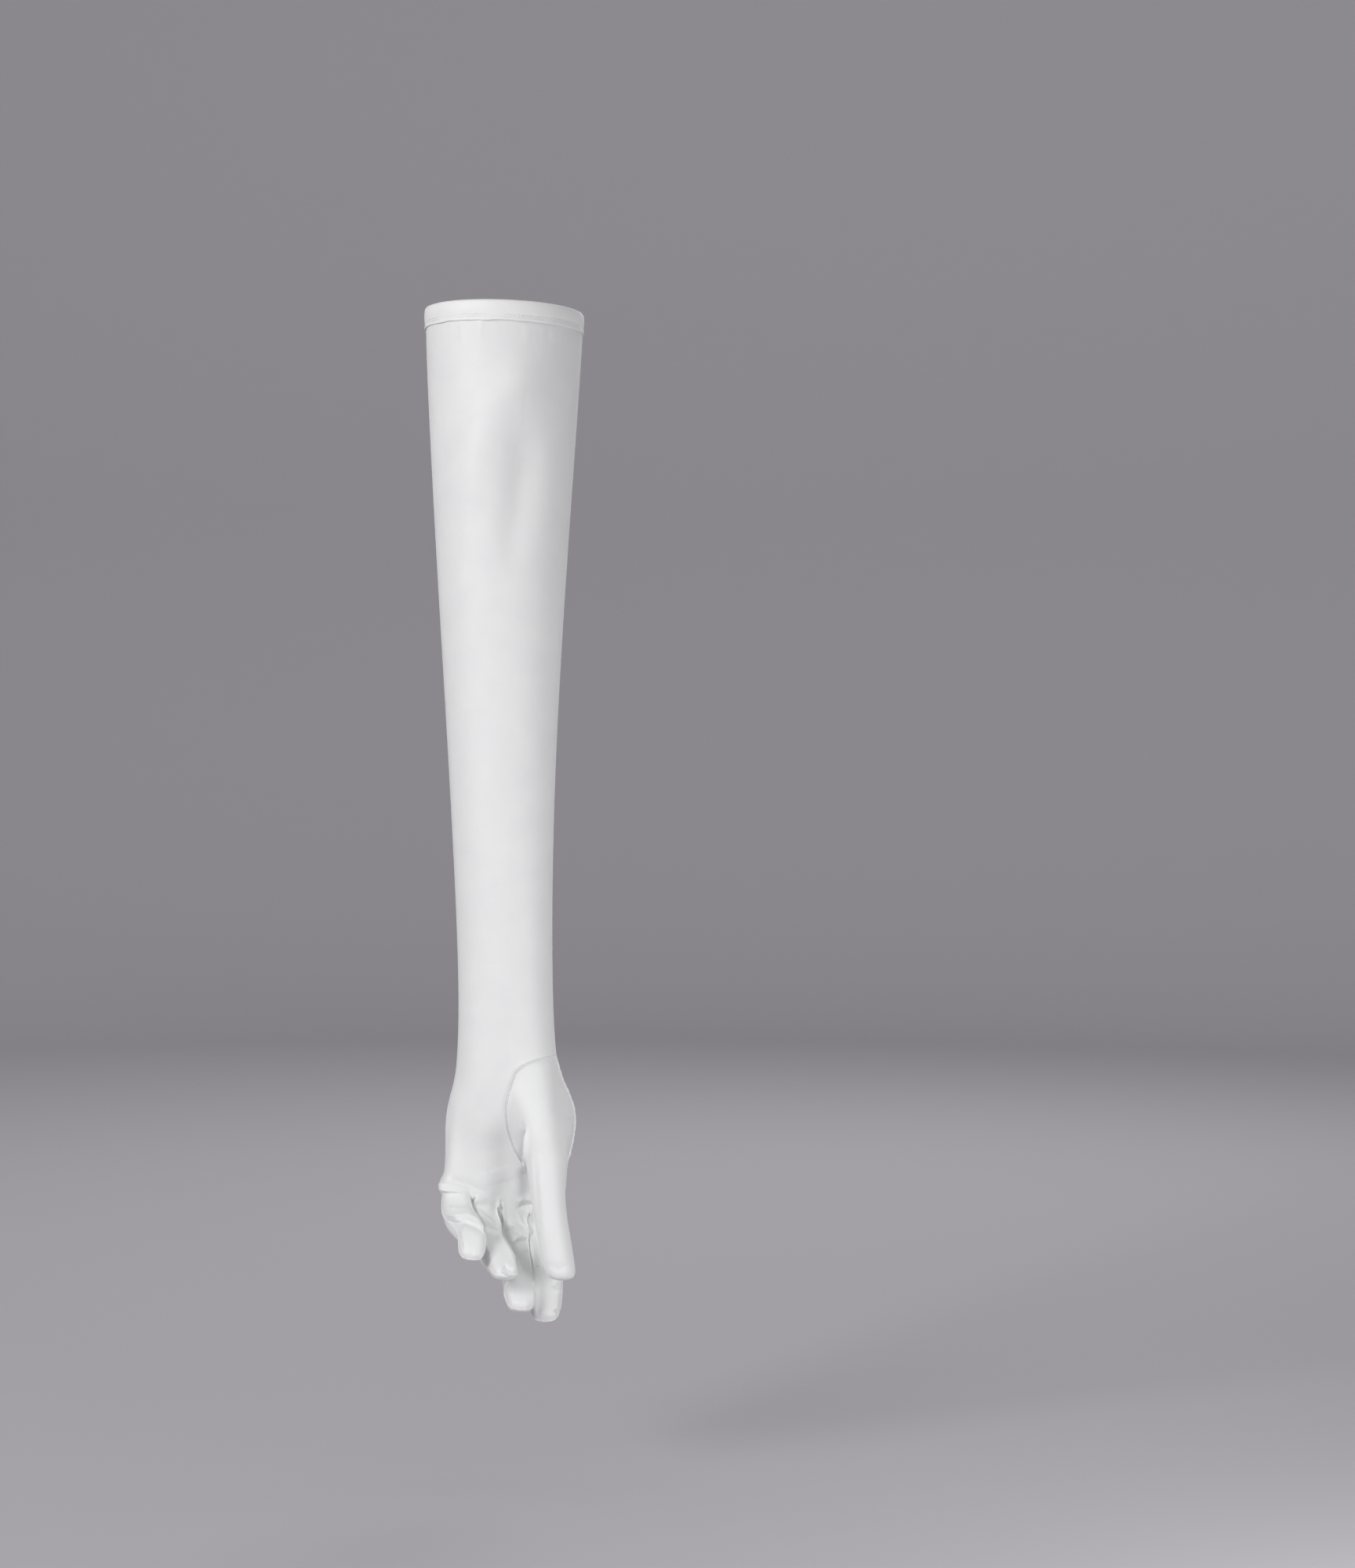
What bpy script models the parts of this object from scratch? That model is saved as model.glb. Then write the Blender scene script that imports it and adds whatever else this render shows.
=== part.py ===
"""A left-hand satin opera glove in its worn form, hollow, fingers down and palm towards -Y.

Units are metres and +Z is up. The origin is the middle of the sleeve's mouth, where the arm goes in.
One smooth quad cage gives the whole glove. It is cut along the real seams into palm and back, a
set-in thumb and three fourchettes, and above the wrist once more into sleeve and hand. A folded hem
closes over the sleeve's top edge.
"""

import math
from collections import namedtuple

import bpy
import numpy as np

# Sizes of the sleeve
SLEEVE_LENGTH = 0.427
CUFF_WIDTH = 0.0896
CUFF_DEPTH = 0.0850
WRIST_WIDTH = 0.0525
WRIST_DEPTH = 0.0410
SLEEVE_LEAN = 0.0015

# Sizes of the hand
PALM_LENGTH = 0.0940
PALM_THICKNESS = 0.0270
THUMB_SIDE_REACH = 0.0400
LITTLE_SIDE_REACH = 0.0335
KNUCKLE_SHIFT = -0.0012
FINGER_GAP = 0.0006

# Sizes of the fingers and the thumb
FINGER_WIDTH = 0.0170
FINGER_THICKNESS = 0.0165
INDEX_LENGTH = 0.0630
MIDDLE_LENGTH = 0.0675
RING_LENGTH = 0.0645
LITTLE_LENGTH = 0.0580
THUMB_LENGTH = 0.0580
THUMB_WIDTH = 0.0180
THUMB_THICKNESS = 0.0170

# Sizes of the cloth and the sewing
WALL = 0.0010
SEAM_GAP = 0.0004
HEM_HEIGHT = 0.0105
HEM_LEG = 0.0010
HEM_CLEARANCE = 0.0003
FOLD_HEIGHT = 0.0022

# The cage has 20 columns round the hand: the thumb side, nine over the back, the little side, nine
# over the palm. Two columns of each face of the hand belong to each finger.
COLUMNS = 20
THUMB_SIDE = 0
LITTLE_SIDE = 10


def back_column(k):
    return 1 + k


def palm_column(k):
    return 19 - k


# Rows of the sleeve: share of its length, how far from cuff size (0) to wrist size (1), and the
# middle's sideways place as a share of the lean.
SleeveRow = namedtuple("SleeveRow", "along taper lean")
SLEEVE_ROWS = (
    SleeveRow(0.000, 0.000, -0.1),
    SleeveRow(0.045, 0.010, -0.2),
    SleeveRow(0.300, 0.365, -1.1),
    SleeveRow(0.620, 0.830, -1.2),
    SleeveRow(0.900, 1.020, 0.4),
)

# Rows of the hand below the wrist: share of the palm's length, reach to the thumb side and to the
# little side as shares of the named reaches, thickness as a share of the palm's, how far the row
# tilts towards the row of knuckles, and how far its oval has become the four knuckles.
HandRow = namedtuple("HandRow", "along thumb_side little_side thickness tilt knuckled")
HAND_ROWS = (
    HandRow(0.030, 0.73, 0.80, 1.46, 0.00, 0.00),
    HandRow(0.170, 0.86, 0.86, 1.36, 0.02, 0.00),
    HandRow(0.310, 1.01, 0.97, 1.25, 0.10, 0.05),
    HandRow(0.460, 1.00, 1.01, 1.14, 0.25, 0.15),
    HandRow(0.620, 0.90, 1.00, 1.06, 0.50, 0.35),
    HandRow(0.810, 0.87, 1.02, 1.00, 0.80, 0.65),
)

# The fingers: length, width and thickness as shares, how far the root sits above the palm's end,
# the sideways turn that the bending plane reaches towards the thumb, its turn at the tip, and the
# bends in degrees at the root, the middle and the tip.
Finger = namedtuple("Finger", "name length width thickness raised turn tip_turn root middle tip")
FINGERS = (
    Finger("index", INDEX_LENGTH, 1.03, 1.00, 0.000, 5.0, 0.0, 28.0, 40.0, 46.0),
    Finger("middle", MIDDLE_LENGTH, 1.00, 1.02, 0.030, 11.0, 9.0, 32.0, 52.0, 66.0),
    Finger("ring", RING_LENGTH, 0.93, 0.96, 0.075, 30.0, 14.0, 49.0, 69.0, 76.0),
    Finger("little", LITTLE_LENGTH, 0.92, 0.92, 0.150, 36.0, 2.0, 61.0, 70.0, 52.0),
)

# Rings of a finger: share of its length, width and thickness as shares.
FingerRing = namedtuple("FingerRing", "along width thickness")
FINGER_RINGS = (
    FingerRing(0.10, 1.03, 1.12),
    FingerRing(0.27, 1.02, 1.06),
    FingerRing(0.43, 1.00, 1.02),
    FingerRing(0.58, 0.97, 0.98),
    FingerRing(0.73, 0.95, 0.90),
    FingerRing(0.88, 0.90, 0.72),
    FingerRing(0.97, 0.69, 0.46),
)
TIP_ALONG = 1.005
FOURCHETTE_RINGS = 5

# The row of knuckles: its tilt in degrees, and its thickness as a share of the fingers'.
KNUCKLE_TILT = 32.0
KNUCKLE_THICKNESS = 1.75

# Where the edge of a fourchette lies on the cage, as shares of a finger's half width and half
# thickness. It also makes the fingers slightly square.
CORNER_ACROSS = 0.93
CORNER_THROUGH = 0.62

# The thumb's line from its first free ring to its tip: sideways, towards the viewer and down, as
# shares of the thumb's length, with width and thickness as shares.
ThumbRing = namedtuple("ThumbRing", "along sideways forward width thickness")
THUMB_RINGS = (
    ThumbRing(0.00, 0.000, 0.000, 1.20, 1.20),
    ThumbRing(0.20, 0.015, 0.070, 1.06, 1.06),
    ThumbRing(0.42, 0.045, 0.130, 1.04, 1.00),
    ThumbRing(0.64, 0.090, 0.165, 1.04, 0.98),
    ThumbRing(0.84, 0.125, 0.185, 1.02, 0.94),
    ThumbRing(0.95, 0.150, 0.195, 0.88, 0.82),
)
THUMB_TIP = ThumbRing(0.99, 0.160, 0.200, 0.0, 0.0)
THUMB_TURN = 25.0

# The middle of the thumb's first free ring, as shares of the hand's reach to the thumb side, of the
# palm's thickness and of the palm's length.
THUMB_ROOT_SHARES = (0.64, -1.07, -0.67)

# Place of the thumb's seam on the palm: sideways as a share of the thumb-side reach, and down from
# the wrist as a share of the palm's length, for the five rows of the seam's palm edge.
SeamPoint = namedtuple("SeamPoint", "sideways down")
THUMB_SEAM = (
    SeamPoint(0.170, 0.110),
    SeamPoint(0.065, 0.215),
    SeamPoint(0.050, 0.350),
    SeamPoint(0.110, 0.510),
    SeamPoint(0.310, 0.670),
)

# How far below the wrist the seam's upper edge lies, from its palm end to the thumb side, as shares
# of the palm's length.
SEAM_TOP = (0.062, 0.042, 0.036, 0.040)
SEAM_TOP_ROW = len(SLEEVE_ROWS)
SEAM_BOTTOM_ROW = SEAM_TOP_ROW + len(THUMB_SEAM) - 1
SEAM_PALM_COLUMN = palm_column(3)

# Folds and dents that show at this size. Across and reach are in cuff widths, across from the
# middle. Down is in sleeve lengths or, on the hand, in palm lengths below the wrist. Height is in
# fold heights, and a dent's is negative.
Fold = namedtuple("Fold", "part side across down across_to down_to reach height")
FOLDS = (
    Fold("sleeve", "palm", 0.17, 0.20, 0.06, 0.32, 0.120, -1.0),
    Fold("sleeve", "palm", -0.20, 0.24, 0.10, 0.10, 0.130, 0.55),
    Fold("sleeve", "back", 0.17, 0.20, 0.06, 0.32, 0.120, -0.80),
    Fold("hand", "palm", 0.24, 0.10, 0.27, 0.42, 0.090, 0.90),
    Fold("hand", "palm", -0.02, 0.55, 0.08, 0.95, 0.130, -1.0),
    Fold("hand", "palm", -0.36, 0.80, -0.16, 0.86, 0.035, 0.70),
    Fold("hand", "little", -0.42, 0.79, -0.34, 0.80, 0.045, 1.60),
    Fold("hand", "back", -0.30, 0.70, 0.32, 0.86, 0.080, 0.65),
)

FOLD_SIDES = {"back": (0, 1, 0), "palm": (0, -1, 0), "little": (-1, 0, 0)}

# The pieces that the cage is cut into. Sleeve and hand part at the sleeve's lowest row.
FOURCHETTES = tuple(f"fourchette_{a.name}_{b.name}" for a, b in zip(FINGERS, FINGERS[1:]))
PANELS = ("sleeve_back", "sleeve_palm", "hand_back", "hand_palm", "thumb_panel") + FOURCHETTES
SLEEVE_END_ROW = len(SLEEVE_ROWS) - 1


def smooth(x):
    x = min(1.0, max(0.0, x))
    return x * x * (3 - 2 * x)


def mix(a, b, t):
    return a + (b - a) * t


def swell(count):
    """A smoothed ring of so many points shrinks, so its cage is made larger by this much."""
    return 6 / (4 + 2 * math.cos(2 * math.pi / count))


def oval(width, depth, centre, z):
    """The 20 points of a sleeve row."""
    size = swell(COLUMNS)
    angles = [2 * math.pi * c / COLUMNS for c in range(COLUMNS)]
    return np.array(
        [
            (
                centre + width / 2 * size * math.cos(a),
                depth / 2 * size * math.sin(a),
                z,
            )
            for a in angles
        ]
    )


def finger_frame(finger, bend, turn):
    """Unit vectors along a finger, to its thumb side and to its back, from angles in degrees."""
    bend, turn = math.radians(bend), math.radians(turn)
    towards = np.array((math.sin(turn), -math.cos(turn), 0.0))
    up = np.array((0.0, 0.0, 1.0))
    along = math.sin(bend) * towards - math.cos(bend) * up
    side = np.array((math.cos(turn), math.sin(turn), 0.0))
    back = -(math.cos(bend) * towards + math.sin(bend) * up)
    return along, side, back


def finger_angles(finger, share):
    """The bend and the sideways turn at a share of the finger's length."""
    first = (finger.middle - finger.root) * smooth((share - 0.25) / 0.30)
    second = (finger.tip - finger.middle) * smooth((share - 0.60) / 0.25)
    turned = (finger.tip_turn - finger.turn) * smooth((share - 0.52) / 0.22)
    return finger.root + first + second, finger.turn * smooth((share - 0.10) / 0.35) + turned


def finger_base(number):
    """The middle of a finger's root. The four sit side by side with the named gap."""
    widths = [f.width * FINGER_WIDTH for f in FINGERS]
    whole = sum(widths) + FINGER_GAP * (len(FINGERS) - 1)
    left_of = sum(widths[:number]) + FINGER_GAP * number
    x = KNUCKLE_SHIFT + whole / 2 - left_of - widths[number] / 2
    z = -SLEEVE_LENGTH - PALM_LENGTH * (1 - FINGERS[number].raised)
    return np.array((x, 0.0, z))


def finger_place(number, share, steps=60):
    """The point at a share of a finger's length, found by walking along its bends."""
    finger = FINGERS[number]
    point = finger_base(number)
    for i in range(steps):
        at = share * (i + 0.5) / steps
        along, _, _ = finger_frame(finger, *finger_angles(finger, at))
        point = point + along * finger.length * share / steps
    return point


def finger_section(finger, middle, bend, turn, width, thickness):
    """Eight points round a finger, from its thumb side over the back to the palm."""
    _, side, back = finger_frame(finger, bend, turn)
    side = side * FINGER_WIDTH * finger.width * width / 2 * 6 / (4 + 2 * CORNER_ACROSS)
    back = back * FINGER_THICKNESS * finger.thickness * thickness / 2
    back = back * 6 / (4 + 2 * CORNER_THROUGH)
    x, y = CORNER_ACROSS, CORNER_THROUGH
    places = ((1, 0), (x, y), (0, 1), (-x, y), (-1, 0), (-x, -y), (0, -1), (x, -y))
    return [middle + side * across + back * through for across, through in places]


def finger_ring(number, ring):
    finger = FINGERS[number]
    bend, turn = finger_angles(finger, ring.along)
    middle = finger_place(number, ring.along)
    return finger_section(finger, middle, bend, turn, ring.width, ring.thickness)


def knuckle_points():
    """The row where the fingers part: a point for each column, and one in each crotch."""
    rings = [
        finger_section(finger, finger_base(n), KNUCKLE_TILT, 0.0, 1.0, KNUCKLE_THICKNESS)
        for n, finger in enumerate(FINGERS)
    ]
    ring = np.zeros((COLUMNS, 3))
    crotch = []
    ring[THUMB_SIDE] = rings[0][0]
    ring[LITTLE_SIDE] = rings[-1][4]
    ring[back_column(0)], ring[palm_column(0)] = rings[0][1], rings[0][7]
    ring[back_column(8)], ring[palm_column(8)] = rings[-1][3], rings[-1][5]
    for number, points in enumerate(rings):
        ring[back_column(2 * number + 1)] = points[2]
        ring[palm_column(2 * number + 1)] = points[6]
        if number:
            before = rings[number - 1]
            ring[back_column(2 * number)] = (before[3] + points[1]) / 2
            ring[palm_column(2 * number)] = (before[5] + points[7]) / 2
            crotch.append((before[4] + points[0]) / 2)
    return ring, crotch


def sleeve_rows():
    rows = []
    for row in SLEEVE_ROWS:
        width = mix(CUFF_WIDTH, WRIST_WIDTH, row.taper)
        depth = mix(CUFF_DEPTH, WRIST_DEPTH, row.taper)
        rows.append(
            oval(width, depth, row.lean * SLEEVE_LEAN, -row.along * SLEEVE_LENGTH)
        )
    return rows


def hand_rows(knuckles):
    """Rows from the wrist's oval to the row of knuckles."""
    rows = []
    low = knuckles[:, 2].mean()
    middle = (knuckles[:, 0].max() + knuckles[:, 0].min()) / 2
    reach = (knuckles[:, 0].max() - knuckles[:, 0].min()) / 2
    for row in HAND_ROWS:
        right = THUMB_SIDE_REACH * row.thumb_side
        left = LITTLE_SIDE_REACH * row.little_side
        width, centre = right + left, (right - left) / 2
        z = mix(-SLEEVE_LENGTH, low, row.along)
        round_row = oval(width, PALM_THICKNESS * row.thickness, centre, z)
        flat_row = knuckles.copy()
        flat_row[:, 0] = centre + (knuckles[:, 0] - middle) * width / 2 / reach
        ring = mix(round_row, flat_row, row.knuckled)
        ring[:, 2] = z + (knuckles[:, 2] - low) * row.tilt
        rows.append(ring)
    return rows


def place_thumb_seam(rows):
    """Moves the palm edge of the thumb's hole onto the seam's curve. The palm's other columns
    close up in proportion, so that none of them bunch at the seam."""
    for i, point in enumerate(THUMB_SEAM):
        row = rows[SEAM_TOP_ROW + i]
        side = row[LITTLE_SIDE, 0]
        seam = point.sideways * THUMB_SIDE_REACH
        palm = slice(LITTLE_SIDE, SEAM_PALM_COLUMN + 1)
        row[palm, 0] = side + (row[palm, 0] - side) * (seam - side) / (
            row[SEAM_PALM_COLUMN, 0] - side
        )
        row[SEAM_PALM_COLUMN, 2] = -SLEEVE_LENGTH - point.down * PALM_LENGTH
    top_columns = [*range(SEAM_PALM_COLUMN + 1, COLUMNS), THUMB_SIDE]
    for column, down in zip(top_columns, SEAM_TOP):
        rows[SEAM_TOP_ROW][column, 2] = -SLEEVE_LENGTH - down * PALM_LENGTH


class Cage:
    """Points and four-sided faces, each face with the name of its panel."""

    def __init__(self):
        self.points, self.faces, self.panels = [], [], []

    def add_points(self, points):
        first = len(self.points)
        self.points.extend(np.asarray(p, float) for p in points)
        return list(range(first, first + len(points)))

    def add_face(self, corners, panel):
        self.faces.append(tuple(corners))
        self.panels.append(panel)

    def add_band(self, upper, lower, panels):
        """Faces between two closed loops of point numbers, with a panel's name for each."""
        count = len(upper)
        for i in range(count):
            j = (i + 1) % count
            self.add_face((upper[i], lower[i], lower[j], upper[j]), panels[i])


def add_hand(cage):
    """Adds the sleeve and the hand down to the knuckles. Gives the rows and crotch points."""
    knuckles, crotch = knuckle_points()
    rows = sleeve_rows() + hand_rows(knuckles)
    place_thumb_seam(rows)
    rows.append(knuckles)
    numbers = [cage.add_points(row) for row in rows]
    crotch_numbers = cage.add_points(crotch)
    for r, (upper, lower) in enumerate(zip(numbers, numbers[1:])):
        for c in range(COLUMNS):
            d = (c + 1) % COLUMNS
            in_hole = SEAM_TOP_ROW <= r < SEAM_BOTTOM_ROW and c >= SEAM_PALM_COLUMN
            if not in_hole:
                part = "sleeve" if r < SLEEVE_END_ROW else "hand"
                side = "back" if c < LITTLE_SIDE else "palm"
                cage.add_face((upper[c], lower[c], lower[d], upper[d]), f"{part}_{side}")
    return numbers, crotch_numbers


def finger_root_loop(number, knuckle_row, crotch):
    """The eight point numbers that a finger grows from."""
    a, m, c = 2 * number, 2 * number + 1, 2 * number + 2
    last = len(FINGERS) - 1
    thumb_side = knuckle_row[THUMB_SIDE] if number == 0 else crotch[number - 1]
    little_side = knuckle_row[LITTLE_SIDE] if number == last else crotch[number]
    back = [knuckle_row[back_column(k)] for k in (a, m, c)]
    palm = [knuckle_row[palm_column(k)] for k in (c, m, a)]
    return [thumb_side, *back, little_side, *palm]


def finger_panels(number, ring):
    """The panel of each of the eight strips between two rings of a finger."""
    panels = ["hand_back"] * 4 + ["hand_palm"] * 4
    if ring < FOURCHETTE_RINGS:
        if number > 0:
            panels[0] = panels[7] = FOURCHETTES[number - 1]
        if number < len(FINGERS) - 1:
            panels[3] = panels[4] = FOURCHETTES[number]
    return panels


def add_finger(cage, number, knuckle_row, crotch):
    loop = finger_root_loop(number, knuckle_row, crotch)
    for r, ring in enumerate(FINGER_RINGS):
        below = cage.add_points(finger_ring(number, ring))
        cage.add_band(loop, below, finger_panels(number, r))
        loop = below
    (tip,) = cage.add_points([finger_place(number, TIP_ALONG)])
    for i in range(0, 8, 2):
        side = "hand_back" if i < 4 else "hand_palm"
        cage.add_face((loop[i], tip, loop[(i + 2) % 8], loop[i + 1]), side)


def thumb_place(ring):
    sideways, forward, down = THUMB_ROOT_SHARES
    root = np.array(
        (
            sideways * THUMB_SIDE_REACH,
            forward * PALM_THICKNESS,
            down * PALM_LENGTH - SLEEVE_LENGTH,
        )
    )
    return root + THUMB_LENGTH * np.array((ring.sideways, -ring.forward, -ring.along))


def thumb_ring(ring):
    """Sixteen points round the thumb, from the palm-side front, over the front, the outer side
    and the back, in the order of the hole's edge."""
    middle = thumb_place(ring)
    turn = math.radians(THUMB_TURN)
    across = np.array((math.cos(turn), math.sin(turn), 0.0))
    through = np.array((-math.sin(turn), math.cos(turn), 0.0))
    size = swell(16)
    return [
        middle
        + across * THUMB_WIDTH * ring.width / 2 * size * math.cos(a)
        + through * THUMB_THICKNESS * ring.thickness / 2 * size * math.sin(a)
        for a in (math.radians(225 + 22.5 * i) - turn for i in range(16))
    ]


def add_thumb(cage, rows):
    """Adds the thumb, from the edge of its hole in the hand to its tip."""
    top, bottom = SEAM_TOP_ROW, SEAM_BOTTOM_ROW
    columns = [*range(SEAM_PALM_COLUMN, COLUMNS), THUMB_SIDE]
    edge = [rows[top][c] for c in columns]
    edge += [rows[r][THUMB_SIDE] for r in range(top + 1, bottom)]
    edge += [rows[bottom][c] for c in reversed(columns)]
    edge += [rows[r][SEAM_PALM_COLUMN] for r in range(bottom - 1, top, -1)]
    start = np.array([cage.points[n] for n in edge])
    free = np.array(thumb_ring(THUMB_RINGS[0]))
    bulge = mix(start, free, np.array((0.80, 0.75, 0.35)))
    loop = edge
    for t in (0.22, 0.47, 0.74):
        ring = (1 - t) ** 2 * start + 2 * t * (1 - t) * bulge + t * t * free
        below = cage.add_points(ring)
        cage.add_band(loop, below, ["thumb_panel"] * 16)
        loop = below
    for ring in THUMB_RINGS:
        below = cage.add_points(thumb_ring(ring))
        cage.add_band(loop, below, ["thumb_panel"] * 16)
        loop = below
    (tip,) = cage.add_points([thumb_place(THUMB_TIP)])
    for i in range(0, 16, 2):
        cage.add_face((loop[i], tip, loop[(i + 2) % 16], loop[i + 1]), "thumb_panel")


def glove_cage():
    cage = Cage()
    rows, crotch = add_hand(cage)
    for number in range(len(FINGERS)):
        add_finger(cage, number, rows[-1], crotch)
    add_thumb(cage, rows)
    return cage


def smoothed(cage, levels):
    """The cage as a smooth surface: its points, normals, faces and their panels."""
    mesh = bpy.data.meshes.new("glove_cage")
    mesh.from_pydata([tuple(p) for p in cage.points], [], cage.faces)
    mesh.polygons.foreach_set("material_index", [PANELS.index(name) for name in cage.panels])
    for name in PANELS:
        mesh.materials.append(bpy.data.materials.new("cage_" + name))
    guide = bpy.data.objects.new("glove_cage", mesh)
    bpy.context.scene.collection.objects.link(guide)
    modifier = guide.modifiers.new("smooth", "SUBSURF")
    modifier.levels = modifier.render_levels = levels
    graph = bpy.context.evaluated_depsgraph_get()
    fine = bpy.data.meshes.new_from_object(guide.evaluated_get(graph))
    points = np.array([v.co for v in fine.vertices])
    normals = np.array([v.normal for v in fine.vertices])
    faces = [tuple(p.vertices) for p in fine.polygons]
    panels = [PANELS[p.material_index] for p in fine.polygons]
    bpy.data.objects.remove(guide)
    bpy.data.meshes.remove(fine)
    bpy.data.meshes.remove(mesh)
    for name in PANELS:
        bpy.data.materials.remove(bpy.data.materials["cage_" + name])
    return points, normals, faces, panels


def fold_heights(points, normals):
    """How far each point stands out or in for the folds and dents."""
    heights = np.zeros(len(points))
    for fold in FOLDS:
        length = SLEEVE_LENGTH if fold.part == "sleeve" else PALM_LENGTH
        top = 0.0 if fold.part == "sleeve" else -SLEEVE_LENGTH
        start = np.array((fold.across * CUFF_WIDTH, top - fold.down * length))
        end = np.array((fold.across_to * CUFF_WIDTH, top - fold.down_to * length))
        flat = points[:, (0, 2)]
        run = end - start
        t = np.clip(((flat - start) @ run) / (run @ run), 0, 1)
        away = np.linalg.norm(flat - start - t[:, None] * run, axis=1)
        facing = normals @ FOLD_SIDES[fold.side]
        shown = np.clip(facing * 1.6, 0, 1)
        share = np.exp(-((away / (fold.reach * CUFF_WIDTH)) ** 2))
        heights += FOLD_HEIGHT * fold.height * shown * share
    return heights


def inset(points, normals, faces, distance):
    """The points of one panel, with its seam edges drawn in by a distance."""
    directed = {}
    for face in faces:
        for a, b in zip(face, face[1:] + face[:1]):
            directed[(a, b)] = face
    inward = {}
    for (a, b), face in directed.items():
        if (b, a) in directed:
            continue
        run = points[b] - points[a]
        middle = points[list(face)].mean(axis=0) - (points[a] + points[b]) / 2
        across = middle - run * (middle @ run) / (run @ run)
        across /= np.linalg.norm(across)
        for n in (a, b):
            inward.setdefault(n, []).append(across)
    around = {}
    for face in faces:
        for n in face:
            if n in inward:
                around.setdefault(n, []).append(points[list(face)].mean(axis=0))
    moved = points.copy()
    for n, ways in inward.items():
        towards = np.mean(around[n], axis=0) - points[n]
        towards -= normals[n] * (towards @ normals[n])
        towards /= np.linalg.norm(towards)
        reach = max(0.6, np.mean([towards @ way for way in ways]))
        moved[n] = points[n] + towards * distance / reach
    return moved


def shell_object(name, points, normals, faces, collection, material):
    """One panel as a closed wall: its outside, its inside, and the strips along its edges."""
    outer = inset(points, normals, faces, SEAM_GAP / 2)
    inner = inset(points, normals, faces, 2 * SEAM_GAP) - normals * WALL
    used = sorted({n for face in faces for n in face})
    number = {n: i for i, n in enumerate(used)}
    count = len(used)
    outside = [outer[n] for n in used]
    inside = [inner[n] for n in used]
    solid = [tuple(number[n] for n in face) for face in faces]
    solid += [tuple(number[n] + count for n in reversed(face)) for face in faces]
    directed = {(a, b) for face in faces for a, b in zip(face, face[1:] + face[:1])}
    for a, b in sorted(directed):
        if (b, a) not in directed:
            a, b = number[a], number[b]
            solid.append((b, a, a + count, b + count))
    mesh = bpy.data.meshes.new(name)
    mesh.from_pydata([tuple(p) for p in outside + inside], [], solid)
    mesh.shade_smooth()
    mesh.set_sharp_from_angle(angle=math.radians(50))
    mesh.materials.append(material)
    panel = bpy.data.objects.new(name, mesh)
    collection.objects.link(panel)
    return panel


def hem_object(points, normals, collection, material):
    """The hem: cloth folded over the top edge of both panels, with a leg inside and outside."""
    top = [n for n in range(len(points)) if abs(points[n][2]) < 1e-6]
    top.sort(key=lambda n: math.atan2(points[n][1], points[n][0]))
    outer = HEM_CLEARANCE + HEM_LEG
    inner = -WALL - HEM_CLEARANCE - HEM_LEG
    middle = (outer + inner) / 2
    crown = HEM_CLEARANCE + HEM_LEG
    section = (
        (HEM_CLEARANCE, -HEM_HEIGHT),
        (outer, -HEM_HEIGHT),
        (outer, 0.0),
        (middle, crown),
        (inner, 0.0),
        (inner, -HEM_HEIGHT),
        (-WALL - HEM_CLEARANCE, -HEM_HEIGHT),
        (-WALL - HEM_CLEARANCE, HEM_CLEARANCE),
        (HEM_CLEARANCE, HEM_CLEARANCE),
    )
    ring, faces = [], []
    for n in top:
        out = np.array((normals[n][0], normals[n][1], 0.0))
        out /= np.linalg.norm(out)
        foot = np.array((points[n][0], points[n][1], 0.0))
        ring += [foot + out * away + (0, 0, up) for away, up in section]
    size, count = len(section), len(top)
    for i in range(count):
        j = (i + 1) % count
        for k in range(size):
            m = (k + 1) % size
            faces.append((i * size + k, j * size + k, j * size + m, i * size + m))
    mesh = bpy.data.meshes.new("cuff_hem")
    mesh.from_pydata([tuple(p) for p in ring], [], faces)
    mesh.shade_smooth()
    mesh.set_sharp_from_angle(angle=math.radians(50))
    mesh.materials.append(material)
    hem = bpy.data.objects.new("cuff_hem", mesh)
    collection.objects.link(hem)
    return hem


def satin(name, colour, roughness):
    material = bpy.data.materials.new(name)
    material.use_nodes = True
    shader = material.node_tree.nodes["Principled BSDF"]
    shader.inputs["Base Color"].default_value = (*colour, 1.0)
    shader.inputs["Roughness"].default_value = roughness
    shader.inputs["Metallic"].default_value = 0.0
    return material


def main():
    for old in list(bpy.data.objects):
        bpy.data.objects.remove(old)
    glove = bpy.data.collections.new("opera_glove")
    bpy.context.scene.collection.children.link(glove)
    points, normals, faces, panels = smoothed(glove_cage(), levels=1)
    points = points + normals * fold_heights(points, normals)[:, None]
    cloth = satin("white_satin", (0.80, 0.81, 0.82), 0.45)
    for name in PANELS:
        own = [face for face, panel in zip(faces, panels) if panel == name]
        shell_object(name, points, normals, own, glove, cloth)
    hem_object(points, normals, glove, satin("hem_satin", (0.86, 0.87, 0.88), 0.40))


main()
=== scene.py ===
# %% [markdown]
# # A satin opera glove in its worn form
#
# This script builds one left-hand opera glove in white stretch satin: a long sleeve with a folded
# hem, a palm and a back cut in one with the fingers, a set-in thumb and three narrow strips between
# the fingers. Everything is made in code, from one cage of points, in metres, with +Z up out of the
# arm opening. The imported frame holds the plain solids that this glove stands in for.

# %% Tools and frame
import math
from collections import namedtuple

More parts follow.
